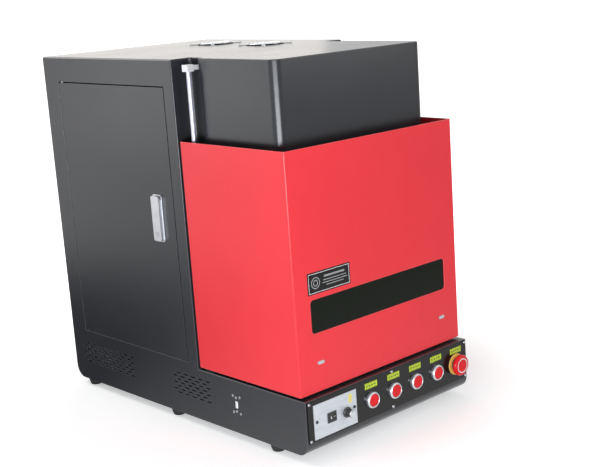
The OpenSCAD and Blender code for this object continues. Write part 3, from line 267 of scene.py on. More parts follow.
def cut(obj, tool):
    """Cuts the shape of tool out of obj, and removes tool."""
    reshaped(obj, "BOOLEAN", operation="DIFFERENCE", solver="EXACT", object=tool)
    bpy.data.objects.remove(tool)
    return evened(smoothed(obj, 30))


def merged(obj):
    """Joins the points and flat faces that a mesh has split."""
    editing(obj)
    bpy.ops.mesh.remove_doubles(threshold=MERGE)
    bpy.ops.mesh.dissolve_limited(angle_limit=FLAT)
    edited()
    return obj


def clean_copy(name, node):
    """A copy of a CAD node's mesh, merged to whole faces and without its stored normals."""
    obj = bpy.data.objects.new(name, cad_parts[node].data.copy())
    bpy.context.scene.collection.objects.link(obj)
    obj.data.materials.clear()
    only(obj)
    bpy.ops.mesh.customdata_custom_splitnormals_clear()
    return named(merged(obj), name)


def sharpened(name, node, edge, segments=2, angle=30):
    """A clean copy of a CAD node with rounded edges."""
    return bevelled(clean_copy(name, node), edge, segments, angle)


def welded(name, nodes):
    """Clean copies of CAD nodes that meet face to face, united into one shell."""
    shell = clean_copy(name, nodes[0])
    for node in nodes[1:]:
        piece = clean_copy(name + "_" + node, node)
        reshaped(shell, "BOOLEAN", operation="UNION", solver="EXACT", object=piece)
        bpy.data.objects.remove(piece)
    return merged(shell)


def span(node):
    """Lowest corner, highest corner and middle of a CAD node, in millimetres."""
    lo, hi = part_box(node)
    return lo / MM, hi / MM, (lo + hi) / (2 * MM)


def solids(node):
    """Lowest corner, highest corner and middle of each separate solid of a CAD node."""
    mesh = bmesh.new()
    mesh.from_mesh(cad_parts[node].data)
    bmesh.ops.remove_doubles(mesh, verts=mesh.verts, dist=MERGE)
    mesh.verts.ensure_lookup_table()
    seen, found = set(), []
    for start in mesh.verts:
        if start.index in seen:
            continue
        seen.add(start.index)
        todo, lo, hi = [start], start.co.copy(), start.co.copy()
        while todo:
            vert = todo.pop()
            for axis in range(3):
                lo[axis] = min(lo[axis], vert.co[axis])
                hi[axis] = max(hi[axis], vert.co[axis])
            for edge in vert.link_edges:
                other = edge.other_vert(vert)
                if other.index not in seen:
                    seen.add(other.index)
                    todo.append(other)
        found.append((lo / MM, hi / MM, (lo + hi) / (2 * MM)))
    mesh.free()
    return sorted(found, key=lambda s: tuple(round(v, 2) for v in s[2]))


def finish(obj, finish_name, body, *nodes):
    """Gives a piece its finish, the body it rides on and the CAD nodes that it stands for."""
    obj.data.materials.clear()
    obj.data.materials.append(bpy.data.materials[finish_name])
    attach(obj, body)
    if nodes:
        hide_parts(*nodes)
    return obj


def dressed(name, node, finish_name, body, edge, segments=2, angle=30):
    """A CAD node's clean copy with rounded edges and its finish, in the node's place."""
    return finish(sharpened(name, node, edge, segments, angle), finish_name, body, node)


def coat(finish_name, *nodes):
    """Gives CAD nodes that stay as they are a finish."""
    for node in nodes:
        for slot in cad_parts[node].material_slots:
            slot.material = bpy.data.materials[finish_name]
        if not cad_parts[node].material_slots:
            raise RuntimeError(f"{node} has no material slot")


# ---------------------------------------------------------------- finishes


def add(tree, kind, settings=None, inputs=None):
    """A shader node with its settings, and with its inputs set to values or linked from sockets."""
    node = tree.nodes.new("ShaderNode" + kind)
    for key, value in (settings or {}).items():
        setattr(node, key, value)
    for key, value in (inputs or {}).items():
        if isinstance(value, bpy.types.NodeSocket):
            tree.links.new(value, node.inputs[key])
        else:
            node.inputs[key].default_value = value
    return node


def maths(tree, operation, a, b=0.0):
    return add(tree, "Math", {"operation": operation}, {0: a, 1: b}).outputs[0]


def blend_colours(tree, amount, a, b):
    """Colour a, going over to colour b by an amount."""
    mix = add(tree, "Mix", {"data_type": "RGBA"}, {0: amount, 6: a, 7: b})
    return mix.outputs[2]


def spread(tree, value, low, high, to_low=0.0, to_high=1.0):
    """A value from one range stretched to another."""
    keys = ("From Min", "From Max", "To Min", "To Max")
    inputs = dict(zip(keys, (low, high, to_low, to_high)))
    return add(tree, "MapRange", None, {"Value": value, **inputs}).outputs[0]


def noise(tree, where, scale, detail=2.0, rough=0.5):
    inputs = {"Vector": where, "Scale": scale, "Detail": detail, "Roughness": rough}
    return add(tree, "TexNoise", None, inputs).outputs["Fac"]


def own_place(tree):
    return add(tree, "TexCoord").outputs["Object"]


def tinted(tree, colour, value):
    """A colour made darker or lighter."""
    return add(tree, "HueSaturation", None, {"Value": value, "Color": colour}).outputs[0]


def effect(name, inputs):
    """A node group that gives a colour, a roughness and a normal, and its two end nodes."""
    tree = bpy.data.node_groups.new(name, "ShaderNodeTree")
    kinds = {"c": "NodeSocketColor", "f": "NodeSocketFloat", "v": "NodeSocketVector"}
    for label, kind, value in inputs:
        socket = tree.interface.new_socket(name=label, in_out="INPUT", socket_type=kinds[kind])
        socket.default_value = value
    for label, kind in (("Colour", "c"), ("Roughness", "f"), ("Normal", "v")):
        tree.interface.new_socket(name=label, in_out="OUTPUT", socket_type=kinds[kind])
    ends = tree.nodes.new("NodeGroupInput"), tree.nodes.new("NodeGroupOutput")
    return tree, ends[0].outputs, ends[1].inputs


def give(tree, given, out, colour, gloss, *bump):
    """Ends an effect: its colour, what it adds to the roughness, and its bump's three values."""
    values = dict(zip(("Strength", "Distance", "Height"), bump))
    tree.links.new(colour, out["Colour"])
    tree.links.new(maths(tree, "ADD", given["Roughness"], gloss), out["Roughness"])
    tree.links.new(add(tree, "Bump", None, values).outputs[0], out["Normal"])


def powder_effect():
    """Powder coat: fine orange peel, clouds in the gloss, a painted highlight on patchy rubbed
    edges, and a few specks.
    """
    tree, given, out = effect(
        "Powder coat surface",
        [
            ("Colour", "c", (0.02, 0.02, 0.02, 1)),
            ("Highlight and wear colour", "c", (0.1, 0.1, 0.1, 1)),
            ("Grain", "f", 1500.0),
            ("Depth", "f", 0.12),
            ("Roughness", "f", 0.4),
        ],
    )
    place = own_place(tree)
    clouds = noise(tree, place, 7.0, 4.0, 0.6)
    peel = noise(tree, place, given["Grain"], 3.0, 0.55)
    soft = add(tree, "Bevel", {"samples": 4}, {"Radius": 0.0016}).outputs[0]
    true_normal = add(tree, "NewGeometry").outputs["Normal"]
    facing = add(tree, "VectorMath", {"operation": "DOT_PRODUCT"}, {0: soft, 1: true_normal})
    # The pale edge colour is a painted highlight along the rounded edges, laid in patches like
    # rubbed wear; the specks share that colour
    edge = spread(tree, facing.outputs["Value"], 0.995, 0.86)
    patchy = spread(tree, noise(tree, place, 90.0, 5.0, 0.7), 0.36, 0.6, 0.35, 1.0)
    highlight_and_wear = maths(tree, "MULTIPLY", maths(tree, "MULTIPLY", edge, patchy), 0.7)
    speck = spread(tree, noise(tree, place, 420.0, 1.0, 0.4), 0.8, 0.84, 0.0, 0.25)
    highlight_and_wear_mask = maths(tree, "MAXIMUM", highlight_and_wear, speck)
    tint = tinted(tree, given["Colour"], spread(tree, clouds, 0.3, 0.7, 0.97, 1.03))
    colour = blend_colours(tree, highlight_and_wear_mask, tint, given["Highlight and wear colour"])
    gloss = spread(tree, clouds, 0.3, 0.7, -0.012, 0.016)
    give(tree, given, out, colour, gloss, given["Depth"], 0.0004, peel)


def brushed_effect():
    """Brushed or rolled metal: fine streaks along the axis whose stretch is small."""
    tree, given, out = effect(
        "Brushed metal surface",
        [
            ("Colour", "c", (0.6, 0.6, 0.6, 1)),
            ("Stretch", "v", (900.0, 900.0, 20.0)),
            ("Depth", "f", 0.1),
            ("Roughness", "f", 0.3),
        ],
    )
    place = own_place(tree)
    along = add(tree, "Mapping", None, {"Vector": place, "Scale": given["Stretch"]}).outputs[0]
    streaks = noise(tree, along, 1.0, 4.0, 0.65)
    stains = noise(tree, place, 45.0, 3.0, 0.6)
    bright = maths(tree, "ADD", spread(tree, streaks, 0.25, 0.75, 0.86, 1.1),
                   spread(tree, stains, 0.35, 0.7, 0.02, -0.06))
    gloss = maths(tree, "ADD", spread(tree, streaks, 0.2, 0.8, -0.07, 0.1),
                  spread(tree, stains, 0.3, 0.75, -0.03, 0.08))
    tint = tinted(tree, given["Colour"], bright)
    give(tree, given, out, tint, gloss, given["Depth"], 0.0002, streaks)


def moulded_effect():
    """Moulded plastic, rubber and ink: spark-eroded grain, faint flow marks and settled dust."""
    tree, given, out = effect(
        "Moulded surface",
        [
            ("Colour", "c", (0.02, 0.02, 0.02, 1)),
            ("Dust colour", "c", (0.3, 0.29, 0.27, 1)),
            ("Dust", "f", 0.05),
            ("Grain", "f", 2200.0),
            ("Depth", "f", 0.1),
            ("Roughness", "f", 0.4),
        ],
    )
    place = own_place(tree)
    grain = noise(tree, place, given["Grain"], 2.0, 0.6)
    flow = noise(tree, place, 30.0, 3.0, 0.55)
    up = add(tree, "SeparateXYZ", None, {0: add(tree, "NewGeometry").outputs["Normal"]}).outputs[2]
    lying = maths(tree, "MULTIPLY", spread(tree, up, 0.1, 0.9), spread(tree, flow, 0.35, 0.65))
    dusty = maths(tree, "MULTIPLY", maths(tree, "ADD", lying, 0.25), given["Dust"])
    shade = tinted(tree, given["Colour"], spread(tree, flow, 0.3, 0.7, 0.93, 1.07))
    colour = blend_colours(tree, dusty, shade, given["Dust colour"])
    gloss = maths(tree, "ADD", spread(tree, flow, 0.3, 0.7, -0.03, 0.05),
                  maths(tree, "MULTIPLY", dusty, 0.8))
    give(tree, given, out, colour, gloss, given["Depth"], 0.0002, grain)


def wiped_effect():
    """Gloss that hands have wiped: arcs of smear, finger marks and fine dust on a smooth face."""
    tree, given, out = effect(
        "Wiped gloss surface",
        [("Colour", "c", (0.01, 0.01, 0.01, 1)), ("Smear", "f", 0.1), ("Roughness", "f", 0.1)],
    )
    place = own_place(tree)
    warp = noise(tree, place, 9.0, 2.0, 0.5)
    swept = add(tree, "Mapping", None, {"Vector": place, "Scale": (14.0, 14.0, 60.0)}).outputs[0]
    smear = spread(tree, noise(tree, swept, 1.0, 5.0, 0.6), 0.4, 0.75)
    prints = spread(tree, maths(tree, "MULTIPLY", warp, noise(tree, place, 160.0, 2.0)), 0.24, 0.4)
    marks = maths(tree, "MULTIPLY", maths(tree, "MAXIMUM", smear, prints), given["Smear"])
    dust = spread(tree, noise(tree, place, 1400.0, 1.0), 0.72, 0.8, 0.0, 0.12)
    pale = (0.35, 0.35, 0.34, 1)
    veil = maths(tree, "ADD", maths(tree, "MULTIPLY", marks, 0.05), dust)
    colour = blend_colours(tree, veil, given["Colour"], pale)
    give(tree, given, out, colour, marks, 0.04, 0.0006, warp)


def shader_of(material):
    """A material's node tree and its Principled shader."""
    tree = material.node_tree
    return tree, next(n for n in tree.nodes if n.type == "BSDF_PRINCIPLED")


def new_finish(name, group, values, plain=None):
    """A material whose look comes from an effect group, with plain values on its own shader."""
    material = bpy.data.materials.new(name)
    material.use_nodes = True
    tree, shader = shader_of(material)
    look = tree.nodes.new("ShaderNodeGroup")
    look.node_tree = bpy.data.node_groups[group]
    for key, value in values.items():
        look.inputs[key].default_value = value
    for output, socket in (("Colour", "Base Color"), ("Roughness",) * 2, ("Normal",) * 2):
        tree.links.new(look.outputs[output], shader.inputs[socket])
    for key, value in (plain or {}).items():
        shader.inputs[key].default_value = value
    material.diffuse_color = values["Colour"]
    return material


def rgb(colour):
    return (*colour, 1.0)


class FinishSettings(bpy.types.PropertyGroup):
    """Colours of the painted and moulded pieces."""

    black: FloatVectorProperty(
        name="Black paint", description="Colour of the housing's powder coat",
        default=(0.022, 0.0235, 0.028), subtype="COLOR", min=0, max=1)
    red: FloatVectorProperty(
        name="Red paint", description="Colour of the sliding cover's powder coat",
        default=(0.86, 0.042, 0.055), subtype="COLOR", min=0, max=1)
    button: FloatVectorProperty(
        name="Button red", description="Colour of the push buttons' caps",
        default=(0.78, 0.008, 0.014), subtype="COLOR", min=0, max=1)
    ring: FloatVectorProperty(
        name="Stop yellow", description="Colour of the ring below the emergency stop",
        default=(0.95, 0.53, 0.11), subtype="COLOR", min=0, max=1)
    tag: FloatVectorProperty(
        name="Tag green", description="Colour of the tags above the buttons",
        default=(0.54, 0.68, 0.03), subtype="COLOR", min=0, max=1)
    paint_gloss: FloatProperty(
        name="Paint roughness", description="Roughness of the powder coats",
        default=0.23, min=0.1, max=0.9, subtype="FACTOR")


class MACHINE_OT_finishes(bpy.types.Operator):
    """Makes the surface effects and the finishes of every piece."""

    bl_idname = "machine.finishes"
    bl_label = "Finishes"

    def execute(self, context):
        s = context.scene.machine_finishes
        powder_effect(), brushed_effect(), moulded_effect(), wiped_effect()
        powder, brushed = "Powder coat surface", "Brushed metal surface"
        moulded, wiped = "Moulded surface", "Wiped gloss surface"
        # The second colour of each coat is a painted highlight on its edges, paler grey on black
        # and pinkish on red, which also stands for rubbed paint
        for name, colour, highlight_and_wear, gloss in (
            ("Black powder coat", s.black, (0.19, 0.195, 0.21), 0.48),
            ("Red powder coat", s.red, (0.95, 0.3, 0.28), 0.3),
        ):
            new_finish(name, powder, {
                "Colour": rgb(colour), "Highlight and wear colour": rgb(highlight_and_wear), "Grain": 1300.0,
                "Depth": 0.12, "Roughness": s.paint_gloss}, {"Specular IOR Level": gloss})
        for name, colour, smear, rough, plain in (
            ("Gloss black panel", (0.009, 0.009, 0.0085), 0.05, 0.12, {"Specular IOR Level": 0.3}),
            ("Filter window", (0.03, 0.055, 0.022), 0.08, 0.04,
             {"Transmission Weight": 0.9, "IOR": 1.25}),
            ("Coated lens", (0.25, 0.12, 0.3), 0.03, 0.03,
             {"Transmission Weight": 0.6, "IOR": 1.6}),
        ):
            new_finish(name, wiped, {
                "Colour": rgb(colour), "Smear": smear, "Roughness": rough}, plain)
        for name, colour, stretch, depth, rough, metal in (
            ("Brushed steel", (0.60, 0.61, 0.64), (700, 700, 16), 0.12, 0.36, 0.9),
            ("Screw steel", (0.50, 0.51, 0.53), (300, 300, 300), 0.06, 0.24, 1),
            ("Dark screw", (0.05, 0.05, 0.055), (300, 300, 300), 0.06, 0.34, 1),
            ("Polished chrome", (0.80, 0.81, 0.84), (120, 120, 20), 0.02, 0.11, 1),
            ("Ground rod", (0.66, 0.66, 0.78), (400, 400, 30), 0.03, 0.3, 0.5),
            ("Satin aluminium", (0.60, 0.62, 0.65), (900, 30, 900), 0.1, 0.32, 1),
            ("Pale aluminium", (0.88, 0.88, 0.90), (500, 500, 40), 0.06, 0.4, 0.3),
            ("Module silver", (0.63, 0.66, 0.70), (20, 900, 900), 0.08, 0.36, 0.4),
            ("Bezel silver", (0.66, 0.68, 0.72), (260, 260, 260), 0.05, 0.28, 0.85),
            ("Red anodised", (0.42, 0.03, 0.02), (30, 700, 700), 0.06, 0.28, 1),
            ("Brass", (0.62, 0.42, 0.16), (300, 300, 300), 0.05, 0.25, 1),
            ("Dark anodised", (0.035, 0.037, 0.042), (300, 300, 30), 0.08, 0.36, 0.6),
        ):
            new_finish(name, brushed, {
                "Colour": rgb(colour), "Stretch": stretch, "Depth": depth,
                "Roughness": rough}, {"Metallic": float(metal)})
        for name, colour, dust, grain, depth, rough, gloss in (
            ("Foot rubber", (0.014, 0.014, 0.014), 0.25, 1600, 0.3, 0.75, 0.3),
            ("Black plastic", (0.017, 0.017, 0.018), 0.12, 2200, 0.22, 0.42, 0.5),
            ("Grey plastic", (0.075, 0.077, 0.08), 0.1, 2200, 0.2, 0.42, 0.5),
            ("Button red", s.button, 0.01, 900, 0.04, 0.24, 0.25),
            ("Mushroom red", s.button, 0.02, 1200, 0.06, 0.27, 0.25),
            ("Stop yellow", s.ring, 0.05, 1500, 0.06, 0.36, 0.5),
            ("Tag green", s.tag, 0.05, 1500, 0.06, 0.4, 0.5),
            ("Tag ink", (0.05, 0.075, 0.012), 0.05, 1500, 0.06, 0.5, 0.5),
            ("White ink", (0.78, 0.79, 0.79), 0.08, 1500, 0.06, 0.45, 0.5),
            ("Faded ink", (0.30, 0.31, 0.31), 0.08, 1500, 0.06, 0.5, 0.5),
            ("Yellow sticker", (0.80, 0.66, 0.2), 0.05, 1500, 0.06, 0.45, 0.5),
            ("Connector plastic", (0.02, 0.12, 0.045), 0.1, 1500, 0.1, 0.5, 0.5),
        ):
            new_finish(name, moulded, {
                "Colour": rgb(colour), "Dust": dust, "Grain": float(grain), "Depth": depth,
                "Roughness": rough}, {"Specular IOR Level": gloss})
        screw_finish()
        return {"FINISHED"}


def screw_finish():
    """Ground lead screw: fine thread bands across its length on polished steel."""
    material = new_finish("Threaded steel", "Brushed metal surface", {
        "Colour": (0.6, 0.61, 0.63, 1), "Stretch": (60, 60, 60), "Depth": 0.03,
        "Roughness": 0.2}, {"Metallic": 1.0})
    tree, shader = shader_of(material)
    bands = add(tree, "TexWave", {"bands_direction": "Z"},
                {"Vector": own_place(tree), "Scale": 157.0, "Distortion": 0.0})
    thread = add(tree, "Bump", None,
                 {"Strength": 0.9, "Distance": 0.0008, "Height": bands.outputs["Fac"]})
    tree.links.new(thread.outputs[0], shader.inputs["Normal"])


# ---------------------------------------------------------------- pieces


class HousingSettings(bpy.types.PropertyGroup):
    """Edges of the sheet-metal pieces."""

    edge: FloatProperty(
        name="Housing edge", description="Rounding of the housing's sheet edges, in millimetres",
        default=0.5, min=0.2, max=0.9)
    fold: FloatProperty(
        name="Housing fold", description="Rounding of the housing's folded edges, in millimetres",
        default=1.8, min=1.0, max=1.9)
    cover_edge: FloatProperty(
        name="Cover edge", description="Rounding of the cover's sheet edges, in millimetres",
        default=0.4, min=0.1, max=0.7)
    door_edge: FloatProperty(
        name="Door edge", description="Rounding of the door's sheet edges, in millimetres",
        default=0.8, min=0.1, max=0.9)


def pan_head(name, radius, height, cross=True):
    """A pan-head screw that points up from Z = 0, with a cross or a slot in its head."""
    head = turned(name, [
        (radius * 0.5, -2.0), (radius * 0.5, 0.0), (radius, 0.0), (radius, height * 0.35),
        (radius * 0.93, height * 0.68), (radius * 0.76, height * 0.92), (radius * 0.5, height),
    ], vertices=28, angle=50)
    blade, arm, deep = radius * 0.16, radius * 0.62, height * 0.45
    tools = [slab(name + "_tool", (-arm, -blade, deep), (arm, blade, height + 1), 0)]
    if cross:
        tools.append(slab(name + "_tool", (-blade, -arm, deep), (blade, arm, height + 1.2), 0))
    for tool in tools:
        cut(head, tool)
    return head


def placed_row(model, name, places, turn, finish_name, body, *nodes):
    """Copies of a model at several places as one finished object. The model goes."""
    return finish(row_of(model, name, places, turn), finish_name, body, *nodes)


def socket_head(name, radius, height):
    """A cap screw that points up from Z = 0, with a hexagon socket."""
    head = turned(name, [
        (radius * 0.55, -2.0), (radius * 0.55, 0.0), (radius, 0.0),
        (radius, height * 0.86), (radius * 0.9, height),
    ], vertices=28, angle=40)
    hexagon = turned(name + "_tool", [(radius * 0.5, height * 0.4), (radius * 0.5, height + 1)],
                     vertices=6, angle=20)
    return cut(head, hexagon)


class MACHINE_OT_housing(bpy.types.Operator):
    """Welds base, cabinet and hood into one powder-coated shell with rounded sheet edges."""

    bl_idname = "machine.housing"
    bl_label = "Housing"

    def execute(self, context):
        s = context.scene.machine_housing
        nodes = ("enclosure", "side_panels", "hood_shell")
        at_fold, at_doorway = self.places()
        shell = rounded(welded("Housing_shell", nodes), at_fold, s.fold)
        shell = rounded(shell, at_doorway, s.door_edge, 3)
        shell = bevelled(shell, s.edge, 2, 40)
        finish(shell, "Black powder coat", "base", *nodes)
        return {"FINISHED"}

    def places(self):
        """Tests for points on the folded outer edges, and for points on the door opening's rim."""
        high = span("enclosure")[1]
        cabinet, deck = span("hood_shell")[1].y, span("guide_rods")[0].z
        near, bend, margin = 0.6, 4.6, 8.0

        def at_fold(place):
            before = place.y < cabinet + near
            ledge = before and abs(place.x) > high.x - near and abs(place.z - deck) < near
            rim = (before and place.y > cabinet - near and place.z > deck - near
                   and abs(place.x) > high.x - bend)
            crown = before and place.z > high.z - near
            return ledge or rim or crown

        def at_doorway(place):
            return (abs(place.x) > high.x - near and cabinet + near < place.y < high.y - margin
                    and deck + near < place.z < high.z - margin)

        return at_fold, at_doorway


class MACHINE_OT_door(bpy.types.Operator):
    """Makes the side door with its rubber seal, and finishes its frame and hinge pins."""

    bl_idname = "machine.door"
    bl_label = "Side door"

    def execute(self, context):
        s = context.scene.machine_housing
        dressed("Side_door", "door", "Black powder coat", "door", s.door_edge, 3)
        dressed("Door_frame", "door_frame", "Black powder coat", "base", s.cover_edge)
        self.seal()
        coat("Screw steel", "hinge_pins")
        return {"FINISHED"}

    def seal(self):
        """A rubber strip round the frame's lip, which the closed door rests against."""
        lo, hi, _ = span("door_frame")
        # The lip is 20 mm wide, and the strip lies on its outer face, inside the door's folds
        x1 = hi.x - 2.0
        inset, wide, thick = 12.6, 5.0, 1.8
        low, high = (lo.y + inset, lo.z + inset), (hi.y - inset, hi.z - inset)
        strips = [slab("Door_seal", (x1 - thick, *a), (x1, *b), 0.6, 3)
                  for a, b in frame_bars(low, high, wide)]
        finish(joined("Door_seal", strips), "Foot rubber", "base")


class MACHINE_OT_lock(bpy.types.Operator):
    """Makes the plane lock: plate, spindle with its cam, and lever with its key cylinder."""

    bl_idname = "machine.lock"
    bl_label = "Door lock"

    def execute(self, context):
        dressed("Lock_plate", "lock_plate", "Brushed steel", "door", 0.45, 3)
        dressed("Lock_rotor", "lock_rotor", "Screw steel", "lock", 0.3)
        lever = sharpened("Lock_lever", "lock_lever", 1.4, 4)
        lo, _, mid = span("lock_lever")
        finish(lever, "Brushed steel", "lever", "lock_lever")
        plug = turned("Lock_key_plug", [
            (3.7, -0.4), (3.7, 0.0), (3.4, 0.22), (1.2, 0.22)], "left",
            (lo.x + 0.3, mid.y, lo.z + 12), vertices=32)
        finish(plug, "Polished chrome", "lever")
        # A thin black bar on the plug's face is painted shade for the dark hollow of the keyway
        slot = slab("Lock_key_slot", (lo.x + 0.02, mid.y - 0.45, lo.z + 9.6),
                    (lo.x + 0.5, mid.y + 0.45, lo.z + 14.4), 0.1)
        finish(slot, "Black plastic", "lever")
        return {"FINISHED"}


class MACHINE_OT_cover(bpy.types.Operator):
    """Makes the sliding cover with its window, plate, oval caps and stiffener."""

    bl_idname = "machine.cover"
    bl_label = "Sliding cover"

    def execute(self, context):
        s = context.scene.machine_housing
        dressed("Cover_sheet", "cover", "Red powder coat", "cover", s.cover_edge, 2, 40)
        dressed("Cover_pane", "cover_window", "Filter window", "cover", 0.6)
        self.pane_frame()
        dressed("Cover_caps", "cover_fixings", "Satin aluminium", "cover", 0.9, 3)
        dressed("Cover_stiffener", "cover_stiffener", "Red powder coat", "cover", 0.35)
        self.plate()
        return {"FINISHED"}

    def pane_frame(self):
        """Black clamp strips that hold the pane against the cover's inside."""
        lo, hi, _ = span("cover_window")
        wide, thick = 9.0, 1.5
        strips = [slab("Pane_clamp", (a[0], hi.y, a[1]), (b[0], hi.y + thick, b[1]), 0.4)
                  for a, b in frame_bars((lo.x, lo.z), (hi.x, hi.z), wide)]
        finish(joined("Pane_clamps", strips), "Dark anodised", "cover")

    def plate(self):
        """The small black plate: a pale border line, two faded rings and plain bars."""
        lo, hi, mid = span("cover_plate")
        plate = slab("Cover_plate", lo, hi, 0.25, 2)
        finish(plate, "Gloss black panel", "cover", "cover_plate")
        face, line = lo.y, 0.9
        inset = 2.2
        x0, x1, z0, z1 = lo.x + inset, hi.x - inset, lo.z + inset, hi.z - inset
        border = [ink_bar("Plate_border", a, b, face)
                  for a, b in frame_bars((x0, z0), (x1, z1), line)]
        finish(joined("Plate_border", border), "White ink", "cover")
        left, wide = x0 + 32, x1 - x0 - 37
        bars = [((left + 4, mid.z + 6.2), (left + wide - 6, mid.z + 9.6))]
        for k, share in enumerate((0.92, 1.0, 0.7)):
            z = mid.z + 0.6 - k * 4.6
            bars.append(((left + (1 - share) * wide / 2, z),
                         (left + (1 + share) * wide / 2, z + 1.5)))
        marks = [ink_bar("Plate_bars", a, b, face) for a, b in bars]
        for r in (10.2, 5.6):
            rim = turned("Plate_ring", [(r, 0), (r, 0.1), (r - 1.7, 0.1), (r - 1.7, 0)], "front",
                         (x0 + 16, face, mid.z), ring=True)
            marks.append(rim)
        finish(joined("Plate_marks", marks), "Faded ink", "cover")


def frame_bars(low, high, wide):
    """The four bars of a flat rectangular frame, each as its two corners."""
    (x0, z0), (x1, z1) = low, high
    return (
        ((x0, z0), (x1, z0 + wide)), ((x0, z1 - wide), (x1, z1)),
        ((x0, z0 + wide), (x0 + wide, z1 - wide)), ((x1 - wide, z0 + wide), (x1, z1 - wide)),
    )


def ink_bar(name, a, b, face, thick=0.08):
    """A thin raised bar of ink between two corners in X and Z, on a face at the front."""
    return slab(name, (a[0], face - thick, a[1]), (b[0], face + 0.05, b[1]), 0.03, 1)


class MACHINE_OT_guides(bpy.types.Operator):
    """Finishes the cover's rods, bearings, end blocks and gas springs."""

    bl_idname = "machine.guides"
    bl_label = "Cover guides"

    def execute(self, context):
        coat("Polished chrome", "lift_rods")
        dressed("Guide_rods", "guide_rods", "Ground rod", "base", 0.8, 2, 50)
        dressed("Bearing_blocks", "bearing_blocks", "Dark anodised", "cover", 0.6, 2, 50)
        dressed("Linear_bearings", "linear_bearings", "Screw steel", "cover", 0.25, 2, 50)
        ends = sharpened("Rod_end_blocks", "rod_end_blocks", 0.8, 3, 50)
        feet = self.lower_blocks(ends)
        finish(ends, "Pale aluminium", "base", "rod_end_blocks")
        finish(feet, "Dark anodised", "base", "rod_end_blocks")
        dressed("Gas_springs", "lift_cylinders", "Black powder coat", "base", 0.6, 2, 50)
        return {"FINISHED"}

    def lower_blocks(self, blocks):
        """Takes the blocks at the rods' feet off as an object of their own."""
        middle = span("guide_rods")[2].z
        editing(blocks)
        pick(blocks, lambda place, normal: place.z < middle)
        bpy.ops.mesh.separate(type="SELECTED")
        edited()
        feet = next(o for o in bpy.context.selected_objects if o != blocks)
        return named(feet, "Rod_foot_blocks")


class MACHINE_OT_feet(bpy.types.Operator):
    """Makes the six rubber feet with their screws."""

    bl_idname = "machine.feet"
    bl_label = "Feet"

    def execute(self, context):
        boxes = solids("feet")
        lo, hi, _ = boxes[0]
        high, wide = hi.z - lo.z, (hi.x - lo.x) / 2
        model = turned("Foot", [
            (5.0, 0.0), (wide - 4.6, 0.0), (wide - 3.8, 0.7), (wide - 1.5, high * 0.55),
            (wide - 1.9, high * 0.6), (wide - 1.7, high * 0.68), (wide - 0.1, high - 1.2),
            (wide - 0.1, high), (2.8, high), (2.8, 5.0), (5.0, 5.0),
        ], ring=True, angle=40)
        spots = [(m.x, m.y, 0) for _, _, m in boxes]
        finish(row_of(model, "Rubber_feet", spots), "Foot rubber", "base", "feet")
        screw = socket_head("Foot_screw", 4.6, 2.8)
        spots = [(x, y, 4.9) for x, y, _ in spots]
        placed_row(screw, "Foot_screws", spots, "down", "Screw steel", "base", "screws")
        return {"FINISHED"}


class MACHINE_OT_control_panel(bpy.types.Operator):
    """Makes the glossy control panel with its six cross-head screws."""

    bl_idname = "machine.control_panel"
    bl_label = "Control panel"

    def execute(self, context):
        dressed("Control_panel", "control_panel", "Gloss black panel", "base", 0.35)
        lo, hi, mid = span("control_panel")
        inset = 3.5
        spots = [
            (x, lo.y, z)
            for x in (lo.x + inset, mid.x, hi.x - inset)
            for z in (lo.z + inset, hi.z - inset)
        ]
        placed_row(pan_head("Panel_screw", *SMALL_HEAD), "Panel_screws", spots, "front",
                   "Screw steel", "base", "screws")
        return {"FINISHED"}


class MACHINE_OT_buttons(bpy.types.Operator):
    """Makes the four push buttons: silver bezels with red caps, and the switch blocks behind."""

    bl_idname = "machine.buttons"
    bl_label = "Push buttons"

    def execute(self, context):
        panel_face = span("control_panel")[0].y
        bezels = solids("button_bezels")
        lo, hi, _ = bezels[0]
        rim, out, back = (hi.z - lo.z) / 2, panel_face - lo.y, hi.y - panel_face
        bore = 8.6
        model = turned("Bezel", [
            (rim - 0.35, 0.0), (rim, 0.4), (rim, out - 2.5), (rim - 0.3, out - 2.0),
            (rim - 0.3, out - 1.7), (rim - 0.9, out - 0.7), (rim - 1.6, out - 0.1),
            (rim - 2.3, out), (rim - 2.9, out - 0.5), (rim - 3.0, out - 1.2),
            (rim - 3.0, 0.5), (bore, 0.5), (bore, -back), (11.0, -back), (11.0, 0.0),
        ], ring=True, vertices=64, angle=25)
        spots = [(m.x, panel_face, m.z) for _, _, m in bezels]
        placed_row(model, "Button_bezels", spots, "front", "Bezel silver", "base", "button_bezels")
        for number in range(1, 5):
            self.cap(number)
        dressed("Switch_blocks", "contact_blocks", "Grey plastic", "base", 0.5, 2, 40)
        return {"FINISHED"}

    def cap(self, number):
        """One red cap with its stem: a soft crown inside a thin rim."""
        node = f"button_{number}"
        lo, hi, mid = span(node)
        r, stem = (hi.x - lo.x) / 2, hi.y - lo.y - 3.0
        cap = turned(f"Button_cap_{number}", [
            (3.0, -stem), (3.0, 0.0), (r - 0.5, 0.0), (r, 0.3), (r, 2.1), (r - 0.25, 2.6),
            (r - 0.8, 2.95), (r - 1.4, 3.0), (r - 1.9, 2.75), (r - 2.3, 2.5), (r - 3.4, 2.55),
            (r * 0.45, 2.75), (r * 0.2, 2.8),
        ], "front", (mid.x, lo.y + 3.0, mid.z), vertices=64, angle=40)
        finish(cap, "Button red", node, node)


